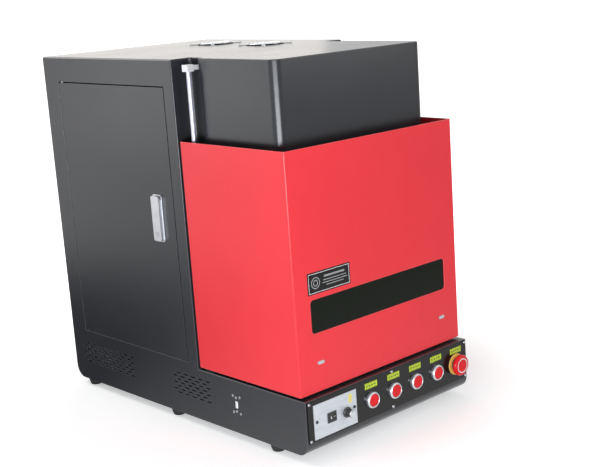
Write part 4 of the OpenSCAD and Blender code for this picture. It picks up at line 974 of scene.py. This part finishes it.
class MACHINE_OT_emergency_stop(bpy.types.Operator):
    """Makes the emergency stop: yellow ring, barrel, stem and mushroom head with a pale ring."""

    bl_idname = "machine.emergency_stop"
    bl_label = "Emergency stop"

    def execute(self, context):
        lo, hi, mid = span("e_stop_ring")
        r, thick = (hi.x - lo.x) / 2, hi.y - lo.y
        ring = turned("Stop_ring", [
            (r - 0.5, 0.0), (r, 0.4), (r, thick - 0.6), (r - 0.6, thick),
            (11.05, thick), (11.05, 0.0),
        ], "front", (mid.x, hi.y, mid.z), ring=True, vertices=64)
        finish(ring, "Stop yellow", "base", "e_stop_ring")
        dressed("Stop_barrel", "e_stop_barrel", "Grey plastic", "base", 0.5, 2, 40)
        coat("Black plastic", "e_stop_stem")
        lo, hi, mid = span("e_stop_head")
        r, high = (hi.x - lo.x) / 2, hi.y - lo.y
        head = turned("Stop_head", [
            (6.05, 3.2), (6.05, 0.0), (r - 3.4, 0.0), (r - 2.6, 0.5), (r - 2.2, 1.6),
            (r - 0.5, 2.3), (r, 3.0), (r, high - 4.2), (r - 0.35, high - 2.9),
            (r - 1.2, high - 1.6), (r - 2.4, high - 0.7), (r - 3.9, high - 0.15),
            (r - 4.6, high - 0.05), (r - 5.0, high - 0.35), (r - 5.3, high - 0.35),
            (r - 5.8, high - 0.12), (r * 0.4, high - 0.02), (r * 0.2, high),
        ], "front", (mid.x, hi.y, mid.z), vertices=72, angle=30)
        finish(head, "Mushroom red", "stop_head", "e_stop_head")
        face = turned("Stop_head_ring", [
            (r - 5.9, high - 0.6), (r - 5.9, high - 0.02), (r - 7.9, high), (r - 7.9, high - 0.6),
        ], "front", (mid.x, hi.y, mid.z), ring=True, vertices=72)
        finish(face, "White ink", "stop_head")
        return {"FINISHED"}


class MACHINE_OT_power_module(bpy.types.Operator):
    """Makes the silver module: plate, slotted screws, rocker switch, knob and its potentiometer."""

    bl_idname = "machine.power_module"
    bl_label = "Power module"

    def execute(self, context):
        dressed("Module_plate", "module_plate", "Module silver", "base", 0.4, 2)
        lo, hi, mid = span("module_plate")
        inset = 6
        arm = (hi.x - lo.x) / 2 - inset
        spots = [(mid.x - arm, lo.y, mid.z), (mid.x + arm, lo.y, mid.z)]
        model = pan_head("Module_screw", *SMALL_HEAD, cross=False)
        placed_row(model, "Module_screws", spots, "front", "Dark screw", "base", "screws")
        sticker = slab("Module_sticker", (hi.x - 19.5, lo.y - 0.12, hi.z - 20),
                       (hi.x - 11, lo.y + 0.05, hi.z - 5), 0.05, 1)
        finish(sticker, "Yellow sticker", "base")
        self.scale(lo)
        self.rocker()
        self.knob()
        return {"FINISHED"}

    def scale(self, plate_lo):
        """Short strokes on the plate, three quarters of the way round the knob."""
        lo, hi, mid = span("knob")
        r = (hi.x - lo.x) / 2 + 1.6
        strokes = []
        half, long, short = 0.22, 1.9, 1.3
        for step in range(11):
            angle = math.radians(-150 + 30 * step)
            reach = r + (long if step % 5 == 0 else short)
            stroke = ink_bar("Knob_scale", (-half, r), (half, reach), 0)
            strokes.append(settle(stroke, (0, angle, 0), (mid.x, plate_lo.y, mid.z)))
        finish(joined("Knob_scale", strokes), "Tag ink", "base")

    def rocker(self):
        dressed("Rocker_frame", "rocker_frame", "Black plastic", "base", 0.5, 3, 40)
        lo, _, mid = span("rocker")
        dressed("Rocker", "rocker", "Black plastic", "rocker", 0.25, 2, 40)
        marks = [
            slab("Rocker_marks", (mid.x - 4.3, lo.y - 0.02, mid.z - 2.3),
                 (mid.x - 3.4, lo.y + 1.1, mid.z + 2.3), 0.05, 1),
            turned("Rocker_marks", [(2.0, -1.3), (2.0, 0.25), (1.25, 0.25), (1.25, -1.3)], "front",
                   (mid.x + 3.6, lo.y + 1.0, mid.z), ring=True, vertices=32),
        ]
        finish(joined("Rocker_marks", marks), "White ink", "rocker")

    def knob(self):
        lo, hi, mid = span("knob")
        r, high = (hi.x - lo.x) / 2, hi.y - lo.y
        cap_r = r - 2.5
        body = turned("Knob_body", [
            (3.0, high - 3.0), (3.0, 0.0), (r - 0.4, 0.0), (r, 0.3), (r, 1.7), (r - 0.5, 2.3),
            (cap_r + 0.4, 3.0), (cap_r, 3.4), (cap_r - 0.35, high - 1.2), (cap_r - 0.9, high - 0.6),
            (cap_r - 1.0, high - 0.5),
        ], "front", (mid.x, hi.y, mid.z), vertices=60, angle=30)
        finish(self.ribbed(body, mid, cap_r), "Black plastic", "knob", "knob")
        cap = turned("Knob_cap", [
            (cap_r - 1.0, high - 0.6), (cap_r - 1.0, high - 0.25), (cap_r - 1.3, high),
            (cap_r - 2.4, high), (cap_r - 2.7, high - 0.12), (1.0, high - 0.12),
        ], "front", (mid.x, hi.y, mid.z), vertices=60)
        finish(cap, "Bezel silver", "knob")
        pointer = slab("Knob_pointer", (mid.x - 0.35, lo.y + 0.02, mid.z + 1.6),
                       (mid.x + 0.35, lo.y + 0.6, mid.z + cap_r - 1.2), 0.06, 1)
        finish(pointer, "Tag ink", "knob")
        coat("Screw steel", "knob_spindle", "potentiometer")

    def ribbed(self, body, mid, radius):
        """Pulls every other strip of the grip inwards, so that it has flutes."""
        editing(body)

        def flute(place, normal):
            away = Vector((place.x - mid.x, place.z - mid.z))
            if abs(normal.y) > 0.4 or not radius - 1.2 < away.length < radius + 0.1:
                return False
            return round(math.atan2(away.y, away.x) / math.radians(6) - 0.5) % 2 == 0

        pick(body, flute)
        bpy.ops.mesh.inset(thickness=0.05 * MM, depth=-0.32 * MM, use_individual=True)
        edited()
        return smoothed(body, 30)


class MACHINE_OT_tags(bpy.types.Operator):
    """Makes the five tags, each with a dark band, plain strokes and a small mark."""

    bl_idname = "machine.tags"
    bl_label = "Tags"

    def execute(self, context):
        plates, ink = [], []
        for number, (lo, hi, mid) in enumerate(solids("label_tags")):
            plates.append(slab("Tag", lo, hi, 0.2, 2))
            face = lo.y
            x0, x1 = lo.x + 1.4, hi.x - 1.4
            ink.append(ink_bar("Tag_ink", (x0, lo.z + 1.2), (x1, lo.z + 1.7), face))
            ink.append(ink_bar("Tag_ink", (x0, hi.z - 1.7), (x1, hi.z - 1.2), face))
            bars = 3 + number % 3
            wide = (x1 - x0 - 8.5) / bars
            for k in range(bars):
                left = x0 + 8.0 + k * wide
                tall = 2.2 if k % 2 else 2.9
                ink.append(ink_bar("Tag_ink", (left, mid.z - tall / 2),
                                   (left + wide * 0.62, mid.z + tall / 2), face))
            ink.append(turned("Tag_ink", [(2.3, 0), (2.3, 0.08), (1.3, 0.08), (1.3, 0)], "front",
                              (x0 + 3.4, face, mid.z), ring=True, vertices=24))
        finish(joined("Tag_plates", plates), "Tag green", "base", "label_tags")
        finish(joined("Tag_ink", ink), "Tag ink", "base")
        return {"FINISHED"}


class MACHINE_OT_side_fixings(bpy.types.Operator):
    """Makes the cluster of small screws round a bright slot in the base's side."""

    bl_idname = "machine.side_fixings"
    bl_label = "Side fixings"

    def execute(self, context):
        wall = span("side_panels")[0].x
        plate, pins, bar = None, [], None
        plate_high, bar_high = 20, 8
        for lo, hi, mid in solids("side_fixings"):
            if hi.z - lo.z > plate_high:
                plate = slab("Fixing_plate", lo, hi, 0.4)
            elif hi.z - lo.z > bar_high:
                bar = slab("Fixing_slot", lo, hi, 0.9, 3)
            else:
                pins.append((wall, mid.y, mid.z))
        finish(plate, "Satin aluminium", "base", "side_fixings")
        finish(bar, "Pale aluminium", "base", "side_fixings")
        placed_row(pan_head("Fixing_screw", 2.5, 1.0), "Fixing_screws", pins, "left",
                   "Screw steel", "base", "side_fixings")
        return {"FINISHED"}


class MACHINE_OT_fans(bpy.types.Operator):
    """Makes the two fans: frame, rotor, wire guard and corner screws."""

    bl_idname = "machine.fans"
    bl_label = "Fans"

    def execute(self, context):
        dressed("Fan_frames", "fan_frames", "Black plastic", "base", 0.7, 2, 40)
        for place, body in (("rear", "rear_fan"), ("front", "front_fan")):
            node = f"fan_rotor_{place}"
            dressed(f"Fan_rotor_{place}", node, "Black plastic", body, 0.35, 2, 40)
            mid = span(node)[2]
            disc = turned(f"Fan_badge_{place}", [
                (12.5, -0.1), (12.5, 0.2), (11.9, 0.35), (4, 0.35),
            ], "up", (mid.x, mid.y, self.hub_top(node, mid)), vertices=40)
            finish(disc, "Satin aluminium", body)
        top = span("enclosure")[1].z
        rings, corners = [], []
        for y in self.middles():
            rings.extend(self.guard(y, top))
            for sx in (-1, 1):
                for sy in (-1, 1):
                    corners.append((self.x + sx * self.arm, y + sy * self.arm, top + 1.0))
        finish(joined("Fan_guards", rings), "Polished chrome", "base", "fan_guards")
        placed_row(pan_head("Guard_screw", 3.2, 2.2), "Guard_screws", corners, "up",
                   "Pale aluminium", "base")
        return {"FINISHED"}

    def middles(self):
        """Sets the fans' shared place, and gives their two middles along Y."""
        tip_gap, screw_inset = 1.5, 4.25
        lo, hi, mid = span("fan_rotor_rear")
        self.x = mid.x
        self.bore = (hi.x - lo.x) / 2 + tip_gap
        lo, hi, _ = span("fan_frames")
        self.arm = (hi.x - lo.x) / 2 - screw_inset
        return [span(f"fan_rotor_{place}")[2].y for place in ("rear", "front")]

    def hub_top(self, node, mid):
        """Height of the rotor's hub, read from the mesh near its middle."""
        hub = 16.5
        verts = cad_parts[node].data.vertices
        near = [v.co.z for v in verts
                if Vector((v.co.x / MM - mid.x, v.co.y / MM - mid.y)).length < hub]
        return max(near) / MM

    def guard(self, y, top):
        """Concentric wires over two crossed ones, with a pressed disc in the middle and eyes."""
        wire, low, pieces = 0.85, top + 1.1, []
        for share in (0.36, 0.57, 0.77, 0.97):
            ring = wire_ring("Guard_ring", self.bore * share, wire, (self.x, y, low + 1.5))
            pieces.append(ring)
        for angle in (45, 135):
            pieces.append(self.spoke(angle, self.arm * math.sqrt(2) - 3.4, y, low))
        pieces.append(turned("Guard_disc", [
            (8.0, 0.0), (8.0, 1.0), (7.4, 1.35), (3.6, 1.35), (3.2, 1.0), (1.6, 1.0)],
            "up", (self.x, y, low + 1.0), vertices=40))
        for sx in (-1, 1):
            for sy in (-1, 1):
                pieces.append(turned("Guard_eye", [
                    (4.2, 0.0), (4.2, 1.3), (3.8, 1.6), (2.2, 1.6), (2.2, 0.0)], "up",
                    (self.x + sx * self.arm, y + sy * self.arm, top), ring=True, vertices=32))
        return pieces

    def spoke(self, angle, reach, y, z):
        rod = turned("Guard_spoke", [(0.5, -reach), (0.9, -reach + 0.4), (0.9, reach - 0.4),
                                     (0.5, reach)], "right", vertices=12)
        return settle(rod, (0, 0, math.radians(angle)), (self.x, y, z))


class MACHINE_OT_focus_unit(bpy.types.Operator):
    """Finishes the focus column: channel, rails, motor, lead screw and carriage."""

    bl_idname = "machine.focus_unit"
    bl_label = "Focus column"

    def execute(self, context):
        dressed("Focus_column", "z_column", "Satin aluminium", "base", 0.5, 2, 40)
        dressed("Focus_rails", "z_rails", "Screw steel", "base", 0.5, 2, 40)
        dressed("Focus_motor", "z_motor", "Black plastic", "base", 0.8, 2, 40)
        coat("Threaded steel", "lead_screw")
        dressed("Focus_carriage", "z_carriage", "Satin aluminium", "carriage", 0.5, 2, 40)
        self.rail_screws()
        self.arm_screws()
        return {"FINISHED"}

    def rail_screws(self):
        """Sunk screws down both rails."""
        places, pitch, ends, first, sunk = [], 60, 30, 20, 0.3
        for lo, hi, mid in solids("z_rails"):
            count = int((hi.z - lo.z - ends) // pitch)
            for k in range(count + 1):
                places.append((mid.x, lo.y + sunk, lo.z + first + k * pitch))
        screw = socket_head("Rail_screw", 2.0, 0.35)
        placed_row(screw, "Rail_screws", places, "front", "Dark screw", "base")

    def arm_screws(self):
        """Cap screws on the carriage's front plate, beside the arm."""
        lo = span("z_carriage")[0]
        column = span("z_column")
        half = (column[1].x - column[0].x) / 2
        front = self.plate_front(lo, half)
        places = [(s * (half - 4), front, z) for s in (-1, 1) for z in (lo.z + 10, lo.z + 36)]
        screw = socket_head("Arm_screw", 3.2, 2.6)
        placed_row(screw, "Arm_screws", places, "front", "Dark screw", "carriage")

    def plate_front(self, lo, half):
        """Front face of the carriage's upright plate, read below the arm."""
        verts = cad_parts["z_carriage"].data.vertices
        near = [v.co.y / MM for v in verts
                if abs(v.co.z / MM - lo.z) < 0.5 and abs(v.co.x / MM) > half]
        return min(near)


class MACHINE_OT_optics(bpy.types.Operator):
    """Makes the scan head, the focusing lens and the beam expander."""

    bl_idname = "machine.optics"
    bl_label = "Optics"

    def execute(self, context):
        dressed("Scan_head", "scan_head", "Dark anodised", "carriage", 1.6, 3, 40)
        self.head_screws()
        self.lens()
        self.expander()
        return {"FINISHED"}

    def head_screws(self):
        """Cap screws in the corners of the scan head's two side lids and its front lid."""
        lo, hi, _ = span("scan_head")
        low, thick, edge, corner = lo.z + 6, 0.8, 7, 12
        sides = [
            slab("Head_lid", (x - thick, lo.y + edge, low + edge),
                 (x + thick, hi.y - edge, hi.z - edge), 0.5)
            for x in (lo.x, hi.x)
        ]
        sides.append(slab("Head_lid", (lo.x + edge, lo.y - thick, low + edge),
                          (hi.x - edge, lo.y + thick, hi.z - edge), 0.5))
        finish(joined("Head_lids", sides), "Dark anodised", "carriage")
        across, along = (lo.x + corner, hi.x - corner), (lo.y + corner, hi.y - corner)
        heights = low + corner, hi.z - corner
        rows = []
        for turn, xs, ys in (
            ("left", (lo.x - thick,), along), ("right", (hi.x + thick,), along),
            ("front", across, (lo.y - thick,)),
        ):
            spots = [(x, y, z) for x in xs for y in ys for z in heights]
            rows.append(row_of(socket_head("Lid_screw", 2.4, 0.6), "Lid_screws", spots, turn))
        finish(joined("Lid_screws", rows), "Screw steel", "carriage")

    def lens(self):
        """The lens: a stepped barrel with grip rings, and a coated front element."""
        lo, hi, mid = span("f_theta_lens")
        r, high = (hi.x - lo.x) / 2, hi.z - lo.z
        barrel = turned("Lens_barrel", [
            (r - 8, 5.9), (r - 8, 0.6), (r - 7.4, 0.0), (r - 3.5, 0.0), (r - 3, 0.5), (r - 3, 9.5),
            (r - 0.5, 10.0), (r, 10.6), (r, 14.0), (r - 1.2, 14.8), (r - 1.2, 15.6), (r, 16.4),
            (r, 18.4), (r - 1.2, 19.2), (r - 1.2, 20.0), (r, 20.8), (r, 22.8), (r - 1.2, 23.6),
            (r - 1.2, 24.4), (r, 25.2), (r, high - 0.6), (r - 0.6, high), (r - 8, high),
        ], "up", (mid.x, mid.y, lo.z), ring=True, vertices=72)
        finish(barrel, "Dark anodised", "carriage", "f_theta_lens")
        glass = turned("Lens_glass", [
            (r - 8, 5.8), (r - 8, 4.4), (r - 14, 3.3), (r - 22, 2.5), (r * 0.2, 2.0),
            (r * 0.06, 1.95)], "up", (mid.x, mid.y, lo.z), vertices=72, angle=60)
        finish(outward(glass), "Coated lens", "carriage")

    def expander(self):
        """The beam expander: a tube with grooves and a narrower focus ring at its end."""
        lo, hi, mid = span("beam_expander")
        r, long = (hi.z - lo.z) / 2, hi.x - lo.x
        tube = turned("Expander_tube", [
            (r, 0.0), (r, long * 0.16), (r - 0.8, long * 0.17), (r - 0.8, long * 0.2),
            (r, long * 0.21), (r, long * 0.62), (r - 1.0, long * 0.63), (r - 1.0, long * 0.66),
            (r, long * 0.67), (r, long - 9.6), (r - 0.8, long - 8.5), (r - 6, long - 8.5),
            (r - 6, long - 0.6), (r - 6.6, long), (5.0, long), (4.4, long - 0.4), (4.2, long - 7),
            (1.5, long - 7),
        ], "right", (lo.x, mid.y, mid.z), vertices=72)
        finish(tube, "Red anodised", "carriage", "beam_expander")


class MACHINE_OT_work_table(bpy.types.Operator):
    """Makes the work table with its slots."""

    bl_idname = "machine.work_table"
    bl_label = "Work table"

    def execute(self, context):
        dressed("Work_table", "work_table", "Satin aluminium", "base", 0.35, 2, 40)
        return {"FINISHED"}


class MACHINE_OT_laser_source(bpy.types.Operator):
    """Makes the laser source: case, cooling fins and the fittings on its rear end."""

    bl_idname = "machine.laser_source"
    bl_label = "Laser source"

    def execute(self, context):
        dressed("Source_case", "laser_source", "Dark anodised", "base", 1.2, 3, 40)
        lo, hi, mid = span("laser_source")
        fins = []
        count, pitch, first, inset, out, sunk, thick = 8, 8, 20, 14, 3.2, 0.1, 2.0
        spots = [(0, 0, lo.z + first + k * pitch) for k in range(count)]
        for x0, x1 in ((lo.x - out, lo.x + sunk), (hi.x - sunk, hi.x + out)):
            fin = slab("Source_fin", (x0, lo.y + inset, 0), (x1, hi.y - inset, thick), 0.5)
            fins.append(row_of(fin, "Source_fins", spots))
        finish(joined("Source_fins", fins), "Dark anodised", "base")
        self.fittings(hi, mid)
        return {"FINISHED"}

    def fittings(self, hi, mid):
        """Fittings on the source's rear end: signal socket, power socket and the fibre's outlet."""
        y = hi.y
        signal = slab("Source_signal", (mid.x - 66, y - 0.2, mid.z + 2),
                      (mid.x - 26, y + 5, mid.z + 14), 1.2, 3)
        finish(signal, "Screw steel", "base")
        power = slab("Source_power", (mid.x + 30, y - 0.2, mid.z - 2),
                     (mid.x + 58, y + 6, mid.z + 16), 0.8, 3)
        finish(power, "Connector plastic", "base")
        outlet = turned("Source_outlet", [
            (9.0, -0.2), (9.0, 3.0), (8.4, 3.6), (6.5, 3.6), (6.5, 9.0), (5.6, 12.0), (4.2, 12.0),
            (4.0, 9.0), (1.5, 9.0)], "rear", (hi.x - 30, y, mid.z), vertices=40)
        finish(outlet, "Black plastic", "base")


class MACHINE_OT_electronics(bpy.types.Operator):
    """Makes the upright plate with the power supply, its terminals and the controller boxes."""

    bl_idname = "machine.electronics"
    bl_label = "Power supply and controller"

    def execute(self, context):
        dressed("Mounting_plate", "mounting_plate", "Module silver", "base", 0.35)
        dressed("Power_supply", "power_supply", "Satin aluminium", "base", 0.8, 2, 40)
        dressed("Controller_boxes", "controller", "Black plastic", "base", 0.8, 2, 40)
        self.terminals()
        self.supply_slots()
        self.sockets()
        return {"FINISHED"}

    def terminals(self):
        """A row of brass screws between ribs, at the power supply's foot."""
        lo, hi, _ = span("power_supply")
        count, margin, half_rib, z0 = 8, 13, 0.8, lo.z
        pitch = (hi.y - lo.y - 2 * margin) / count
        x = hi.x - 16
        ribs = [
            slab("Terminal_rib", (x - 2.5, lo.y + margin + k * pitch - half_rib, z0 + 1),
                 (x + 0.2, lo.y + margin + k * pitch + half_rib, z0 + 13), 0.3)
            for k in range(count + 1)
        ]
        finish(joined("Terminal_ribs", ribs), "Black plastic", "base")
        spots = [(x, lo.y + margin + (k + 0.5) * pitch, z0 + 7) for k in range(count)]
        screw = pan_head("Terminal_screw", 3.6, 1.8)
        placed_row(screw, "Terminal_screws", spots, "left", "Brass", "base")

    def supply_slots(self):
        """Rows of raised louvres on the power supply's broad side."""
        lo, _, mid = span("power_supply")
        louvre = slab("Supply_louvre", (-1.0, -40, 0), (0.2, 40, 3.0), 0.5, 3)
        count, pitch, first = 17, 7.5, -50
        spots = [(lo.x, mid.y, mid.z + first + k * pitch) for k in range(count)]
        finish(row_of(louvre, "Supply_louvres", spots), "Satin aluminium", "base")

    def sockets(self):
        """Green plug-in terminals along the controller's two long edges."""
        blocks = []
        for lo, hi, _ in solids("controller"):
            count = max(2, int((hi.y - lo.y) // 30))
            pitch = (hi.y - lo.y) / count
            for k in range(count):
                y = lo.y + (k + 0.5) * pitch
                for z in (lo.z + 3, hi.z - 13):
                    blocks.append(slab("Plug", (lo.x - 5, y - pitch * 0.36, z),
                                       (lo.x + 0.2, y + pitch * 0.36, z + 10), 0.5))
        finish(joined("Controller_plugs", blocks), "Connector plastic", "base")


class MACHINE_OT_rear(bpy.types.Operator):
    """Makes the removable rear panel with its screws, and the mains inlet."""

    bl_idname = "machine.rear"
    bl_label = "Rear panel and inlet"

    def execute(self, context):
        dressed("Rear_panel", "rear_panel", "Black powder coat", "base", 0.3)
        lo, hi, mid = span("rear_panel")
        inset = 7
        left, right = lo.x + inset, hi.x - inset
        spots = [(x, hi.y, z) for x in (left, mid.x, right) for z in (lo.z + inset, hi.z - inset)]
        spots += [(x, hi.y, lo.z + (hi.z - lo.z) * share)
                  for x in (left, right) for share in (0.26, 0.5, 0.74)]
        placed_row(pan_head("Rear_screw", 3.2, 1.9), "Rear_screws", spots, "rear",
                   "Screw steel", "base")
        self.inlet()
        return {"FINISHED"}

    def inlet(self):
        """The mains inlet with two sunk screws in its flange and the pins in its socket."""
        lo, hi, mid = span("power_inlet")
        face = hi.y
        body = sharpened("Power_inlet", "power_inlet", 0.5, 2, 40)
        spots = [(x, face - 1.0, mid.z) for x in (lo.x + 3.2, hi.x - 3.2)]
        for spot in spots:
            cut(body, turned("Inlet_tool", [(2.4, 0), (2.4, 2)], "rear", spot, vertices=28))
        finish(body, "Black plastic", "base", "power_inlet")
        placed_row(pan_head("Inlet_screw", 2.0, 0.9), "Inlet_screws", spots, "rear",
                   "Screw steel", "base")
        pins = [
            slab("Inlet_pin", (mid.x + x - 0.95, face - 14, mid.z + z - 2.4),
                 (mid.x + x + 0.95, face - 6.9, mid.z + z + 2.4), 0.4)
            for x, z in ((-13.5, -2), (-7, 2), (-0.5, -2))
        ]
        finish(joined("Inlet_pins", pins), "Bezel silver", "base")


# ---------------------------------------------------------------- stage


class StageSettings(bpy.types.PropertyGroup):
    """Camera, floor and lamps."""

    lens: FloatProperty(
        name="Lens", description="Focal length on a 36 mm wide sensor, in millimetres",
        default=69.0, min=20, max=200)
    key_power: FloatProperty(
        name="Key lamp", description="Power of the lamp that stands low, before the left side",
        default=30.0, min=0, max=1000, unit="POWER")
    side_power: FloatProperty(
        name="Side lamp", description="Power of the lamp at the left, behind the machine",
        default=3.0, min=0, max=1000, unit="POWER")
    front_power: FloatProperty(
        name="Front lamp", description="Power of the lamp at the right, before the machine",
        default=10.0, min=0, max=1000, unit="POWER")
    back_power: FloatProperty(
        name="Back lamp", description="Power of the lamp that skims the top from behind",
        default=3.0, min=0, max=1000, unit="POWER")
    top_power: FloatProperty(
        name="Top lamp", description="Power of the lamp above",
        default=13.0, min=0, max=1000, unit="POWER")
    room_light: FloatProperty(
        name="Room light", description="Strength of the soft light from all round",
        default=0.4, min=0, max=3)


class MACHINE_OT_stage(bpy.types.Operator):
    """Lays a pale floor and sets the lamps, the surroundings and the camera."""

    bl_idname = "machine.stage"
    bl_label = "Floor, lamps and camera"

    def execute(self, context):
        scene = context.scene
        s = scene.machine_stage
        scene.view_settings.view_transform = "Standard"
        self.floor()
        self.surroundings(s)
        for name, place, aim, size, power, *others in (
            ("Key", (-1.4, -1.4, 0.29), (-0.1, -0.2, 0.5), 1.5, s.key_power, (0.91, 0.95, 1), 0.42),
            ("Side", (-1.95, 2.1, 0.6), (-0.2, 0.1, 0.5), 0.9, s.side_power),
            ("Front", (1.5, -2.2, 1.1), (0.1, -0.2, 0.3), 1.2, s.front_power),
            ("Back", (1.6, 2.3, 1.0), (0.0, 0.1, 0.6), 1.2, s.back_power, (1, 0.92, 0.83)),
            ("Top", (-0.6, 1.4, 1.65), (-0.1, 0.0, 0.4), 1.2, s.top_power),
        ):
            self.lamp(name + "_lamp", place, aim, size, power, *others)
        self.camera(scene, s)
        return {"FINISHED"}

    def camera(self, scene, s):
        data = bpy.data.cameras.new("Camera")
        data.lens, data.sensor_width = s.lens, 36.0
        data.clip_start, data.clip_end = 0.05, 60.0
        data.shift_x = -0.065
        eye = bpy.data.objects.new("Camera", data)
        scene.collection.objects.link(eye)
        place = (-1.4453, -1.7393, 0.8200)
        ahead = Vector((0.6810, 0.6982, -0.2208)).normalized()
        right = Vector((0.7054, -0.7064, -0.0582))
        right = (right - right.dot(ahead) * ahead).normalized()
        up = right.cross(ahead)
        turn = Matrix((right, up, -ahead)).transposed().to_4x4()
        eye.matrix_world = Matrix.Translation(place) @ turn
        scene.camera = eye

    def lamp(self, name, place, aim, size, power, colour=(1, 1, 1), height=None):
        """A soft lamp that shines from a place to an aim, and isn't seen itself."""
        data = bpy.data.lights.new(name, "AREA")
        data.shape, data.energy, data.color = "RECTANGLE", power, colour
        data.size, data.size_y = size, height or size
        lamp = bpy.data.objects.new(name, data)
        lamp.visible_camera = False
        bpy.context.scene.collection.objects.link(lamp)
        lamp.location = place
        way = Vector(aim) - Vector(place)
        lamp.rotation_euler = way.to_track_quat("-Z", "Y").to_euler()

    def floor(self):
        """A pale floor that keeps the shadow near the machine and is plain white further out."""
        clear()
        bpy.ops.mesh.primitive_plane_add(size=30, location=(0, 0, 0))
        floor = named(bpy.context.object, "Floor")
        material = bpy.data.materials.new("Pale floor")
        material.use_nodes = True
        tree, shader = shader_of(material)
        place = own_place(tree)
        path = add(tree, "LightPath").outputs
        grain = spread(tree, noise(tree, place, 3.0, 3.0), 0.3, 0.7, 0.98, 1.0)
        pale = add(tree, "HueSaturation", None, {"Value": grain, "Color": (0.95, 0.95, 0.95, 1)})
        # The light that the floor throws back on the machine is softer than what the eye sees
        mirrored = maths(tree, "MAXIMUM", path["Is Glossy Ray"], path["Is Transmission Ray"])
        soft = blend_colours(tree, mirrored, (0.4, 0.4, 0.4, 1), (0.1, 0.1, 0.1, 1))
        tone = blend_colours(tree, path["Is Camera Ray"], soft, pale.outputs[0])
        tree.links.new(tone, shader.inputs["Base Color"])
        away = add(tree, "VectorMath", {"operation": "LENGTH"}, {0: place}).outputs["Value"]
        brighter = spread(tree, away, 0.4, 0.95, 0.4, 1.0)
        direct = maths(tree, "MULTIPLY", path["Is Camera Ray"], brighter)
        leftwards = add(tree, "VectorMath", {"operation": "DOT_PRODUCT"},
                        {0: place, 1: (-0.7, 0.7, 0.0)}).outputs["Value"]
        half = maths(tree, "MULTIPLY", mirrored, spread(tree, leftwards, -1.6, -0.2, 0.42, 1.0))
        behind = add(tree, "VectorMath", {"operation": "DISTANCE"},
                     {0: place, 1: (0.0, 0.9, 0.0)}).outputs["Value"]
        far = maths(tree, "MULTIPLY", half, spread(tree, behind, 0.6, 1.2, 0.0, 1.05))
        glow = maths(tree, "ADD", direct, far)
        tree.links.new(glow, shader.inputs["Emission Strength"])
        shader.inputs["Emission Color"].default_value = (1, 1, 1, 1)
        shader.inputs["Roughness"].default_value = 0.85
        shader.inputs["Specular IOR Level"].default_value = 0.1
        floor.data.materials.append(material)

    def seen(self, tree):
        """One for what is seen directly, in gloss and through glass, and zero for light."""
        path = add(tree, "LightPath").outputs
        return maths(tree, "MAXIMUM", path["Is Camera Ray"],
                     maths(tree, "MAXIMUM", path["Is Glossy Ray"], path["Is Transmission Ray"]))

    def surroundings(self, s):
        """White where it is seen directly or in gloss and glass, and softer as light."""
        world = bpy.data.worlds.new("Room")
        bpy.context.scene.world = world
        world.use_nodes = True
        tree = world.node_tree
        background = next(n for n in tree.nodes if n.type == "BACKGROUND")
        strength = spread(tree, self.seen(tree), 0.0, 1.0, s.room_light, 1.0)
        background.inputs["Color"].default_value = (1, 1, 1, 1)
        tree.links.new(strength, background.inputs["Strength"])


# ---------------------------------------------------------------- panel


STEPS = (
    MACHINE_OT_finishes,
    MACHINE_OT_housing,
    MACHINE_OT_door,
    MACHINE_OT_lock,
    MACHINE_OT_cover,
    MACHINE_OT_guides,
    MACHINE_OT_feet,
    MACHINE_OT_control_panel,
    MACHINE_OT_buttons,
    MACHINE_OT_emergency_stop,
    MACHINE_OT_power_module,
    MACHINE_OT_tags,
    MACHINE_OT_side_fixings,
    MACHINE_OT_fans,
    MACHINE_OT_focus_unit,
    MACHINE_OT_optics,
    MACHINE_OT_work_table,
    MACHINE_OT_laser_source,
    MACHINE_OT_electronics,
    MACHINE_OT_rear,
    MACHINE_OT_stage,
)


class MACHINE_PT_marking_machine(bpy.types.Panel):
    """Buttons for every piece of the machine, in building order."""

    bl_idname = "MACHINE_PT_marking_machine"
    bl_label = "Marking machine"
    bl_space_type = "VIEW_3D"
    bl_region_type = "UI"
    bl_category = "Marking machine"

    def draw(self, context):
        layout = self.layout
        for settings in ("machine_finishes", "machine_housing", "machine_stage"):
            group = getattr(context.scene, settings)
            box = layout.box()
            for key in group.__annotations__:
                box.prop(group, key)
        column = layout.column(align=True)
        for step in STEPS:
            column.operator(step.bl_idname)


GROUPS = {
    "machine_finishes": FinishSettings,
    "machine_housing": HousingSettings,
    "machine_stage": StageSettings,
}


def register():
    for name, group in GROUPS.items():
        bpy.utils.register_class(group)
        setattr(bpy.types.Scene, name, PointerProperty(type=group))
    for cls in (*STEPS, MACHINE_PT_marking_machine):
        bpy.utils.register_class(cls)


def unregister():
    for cls in (MACHINE_PT_marking_machine, *reversed(STEPS)):
        bpy.utils.unregister_class(cls)
    for name, group in reversed(GROUPS.items()):
        delattr(bpy.types.Scene, name)
        bpy.utils.unregister_class(group)


def main():
    register()
    for step in STEPS:
        area, operator = step.bl_idname.split(".")
        result = getattr(getattr(bpy.ops, area), operator)()
        if result != {"FINISHED"}:
            raise RuntimeError(f"{step.bl_idname} did not finish")


if __name__ == "__main__":
    main()
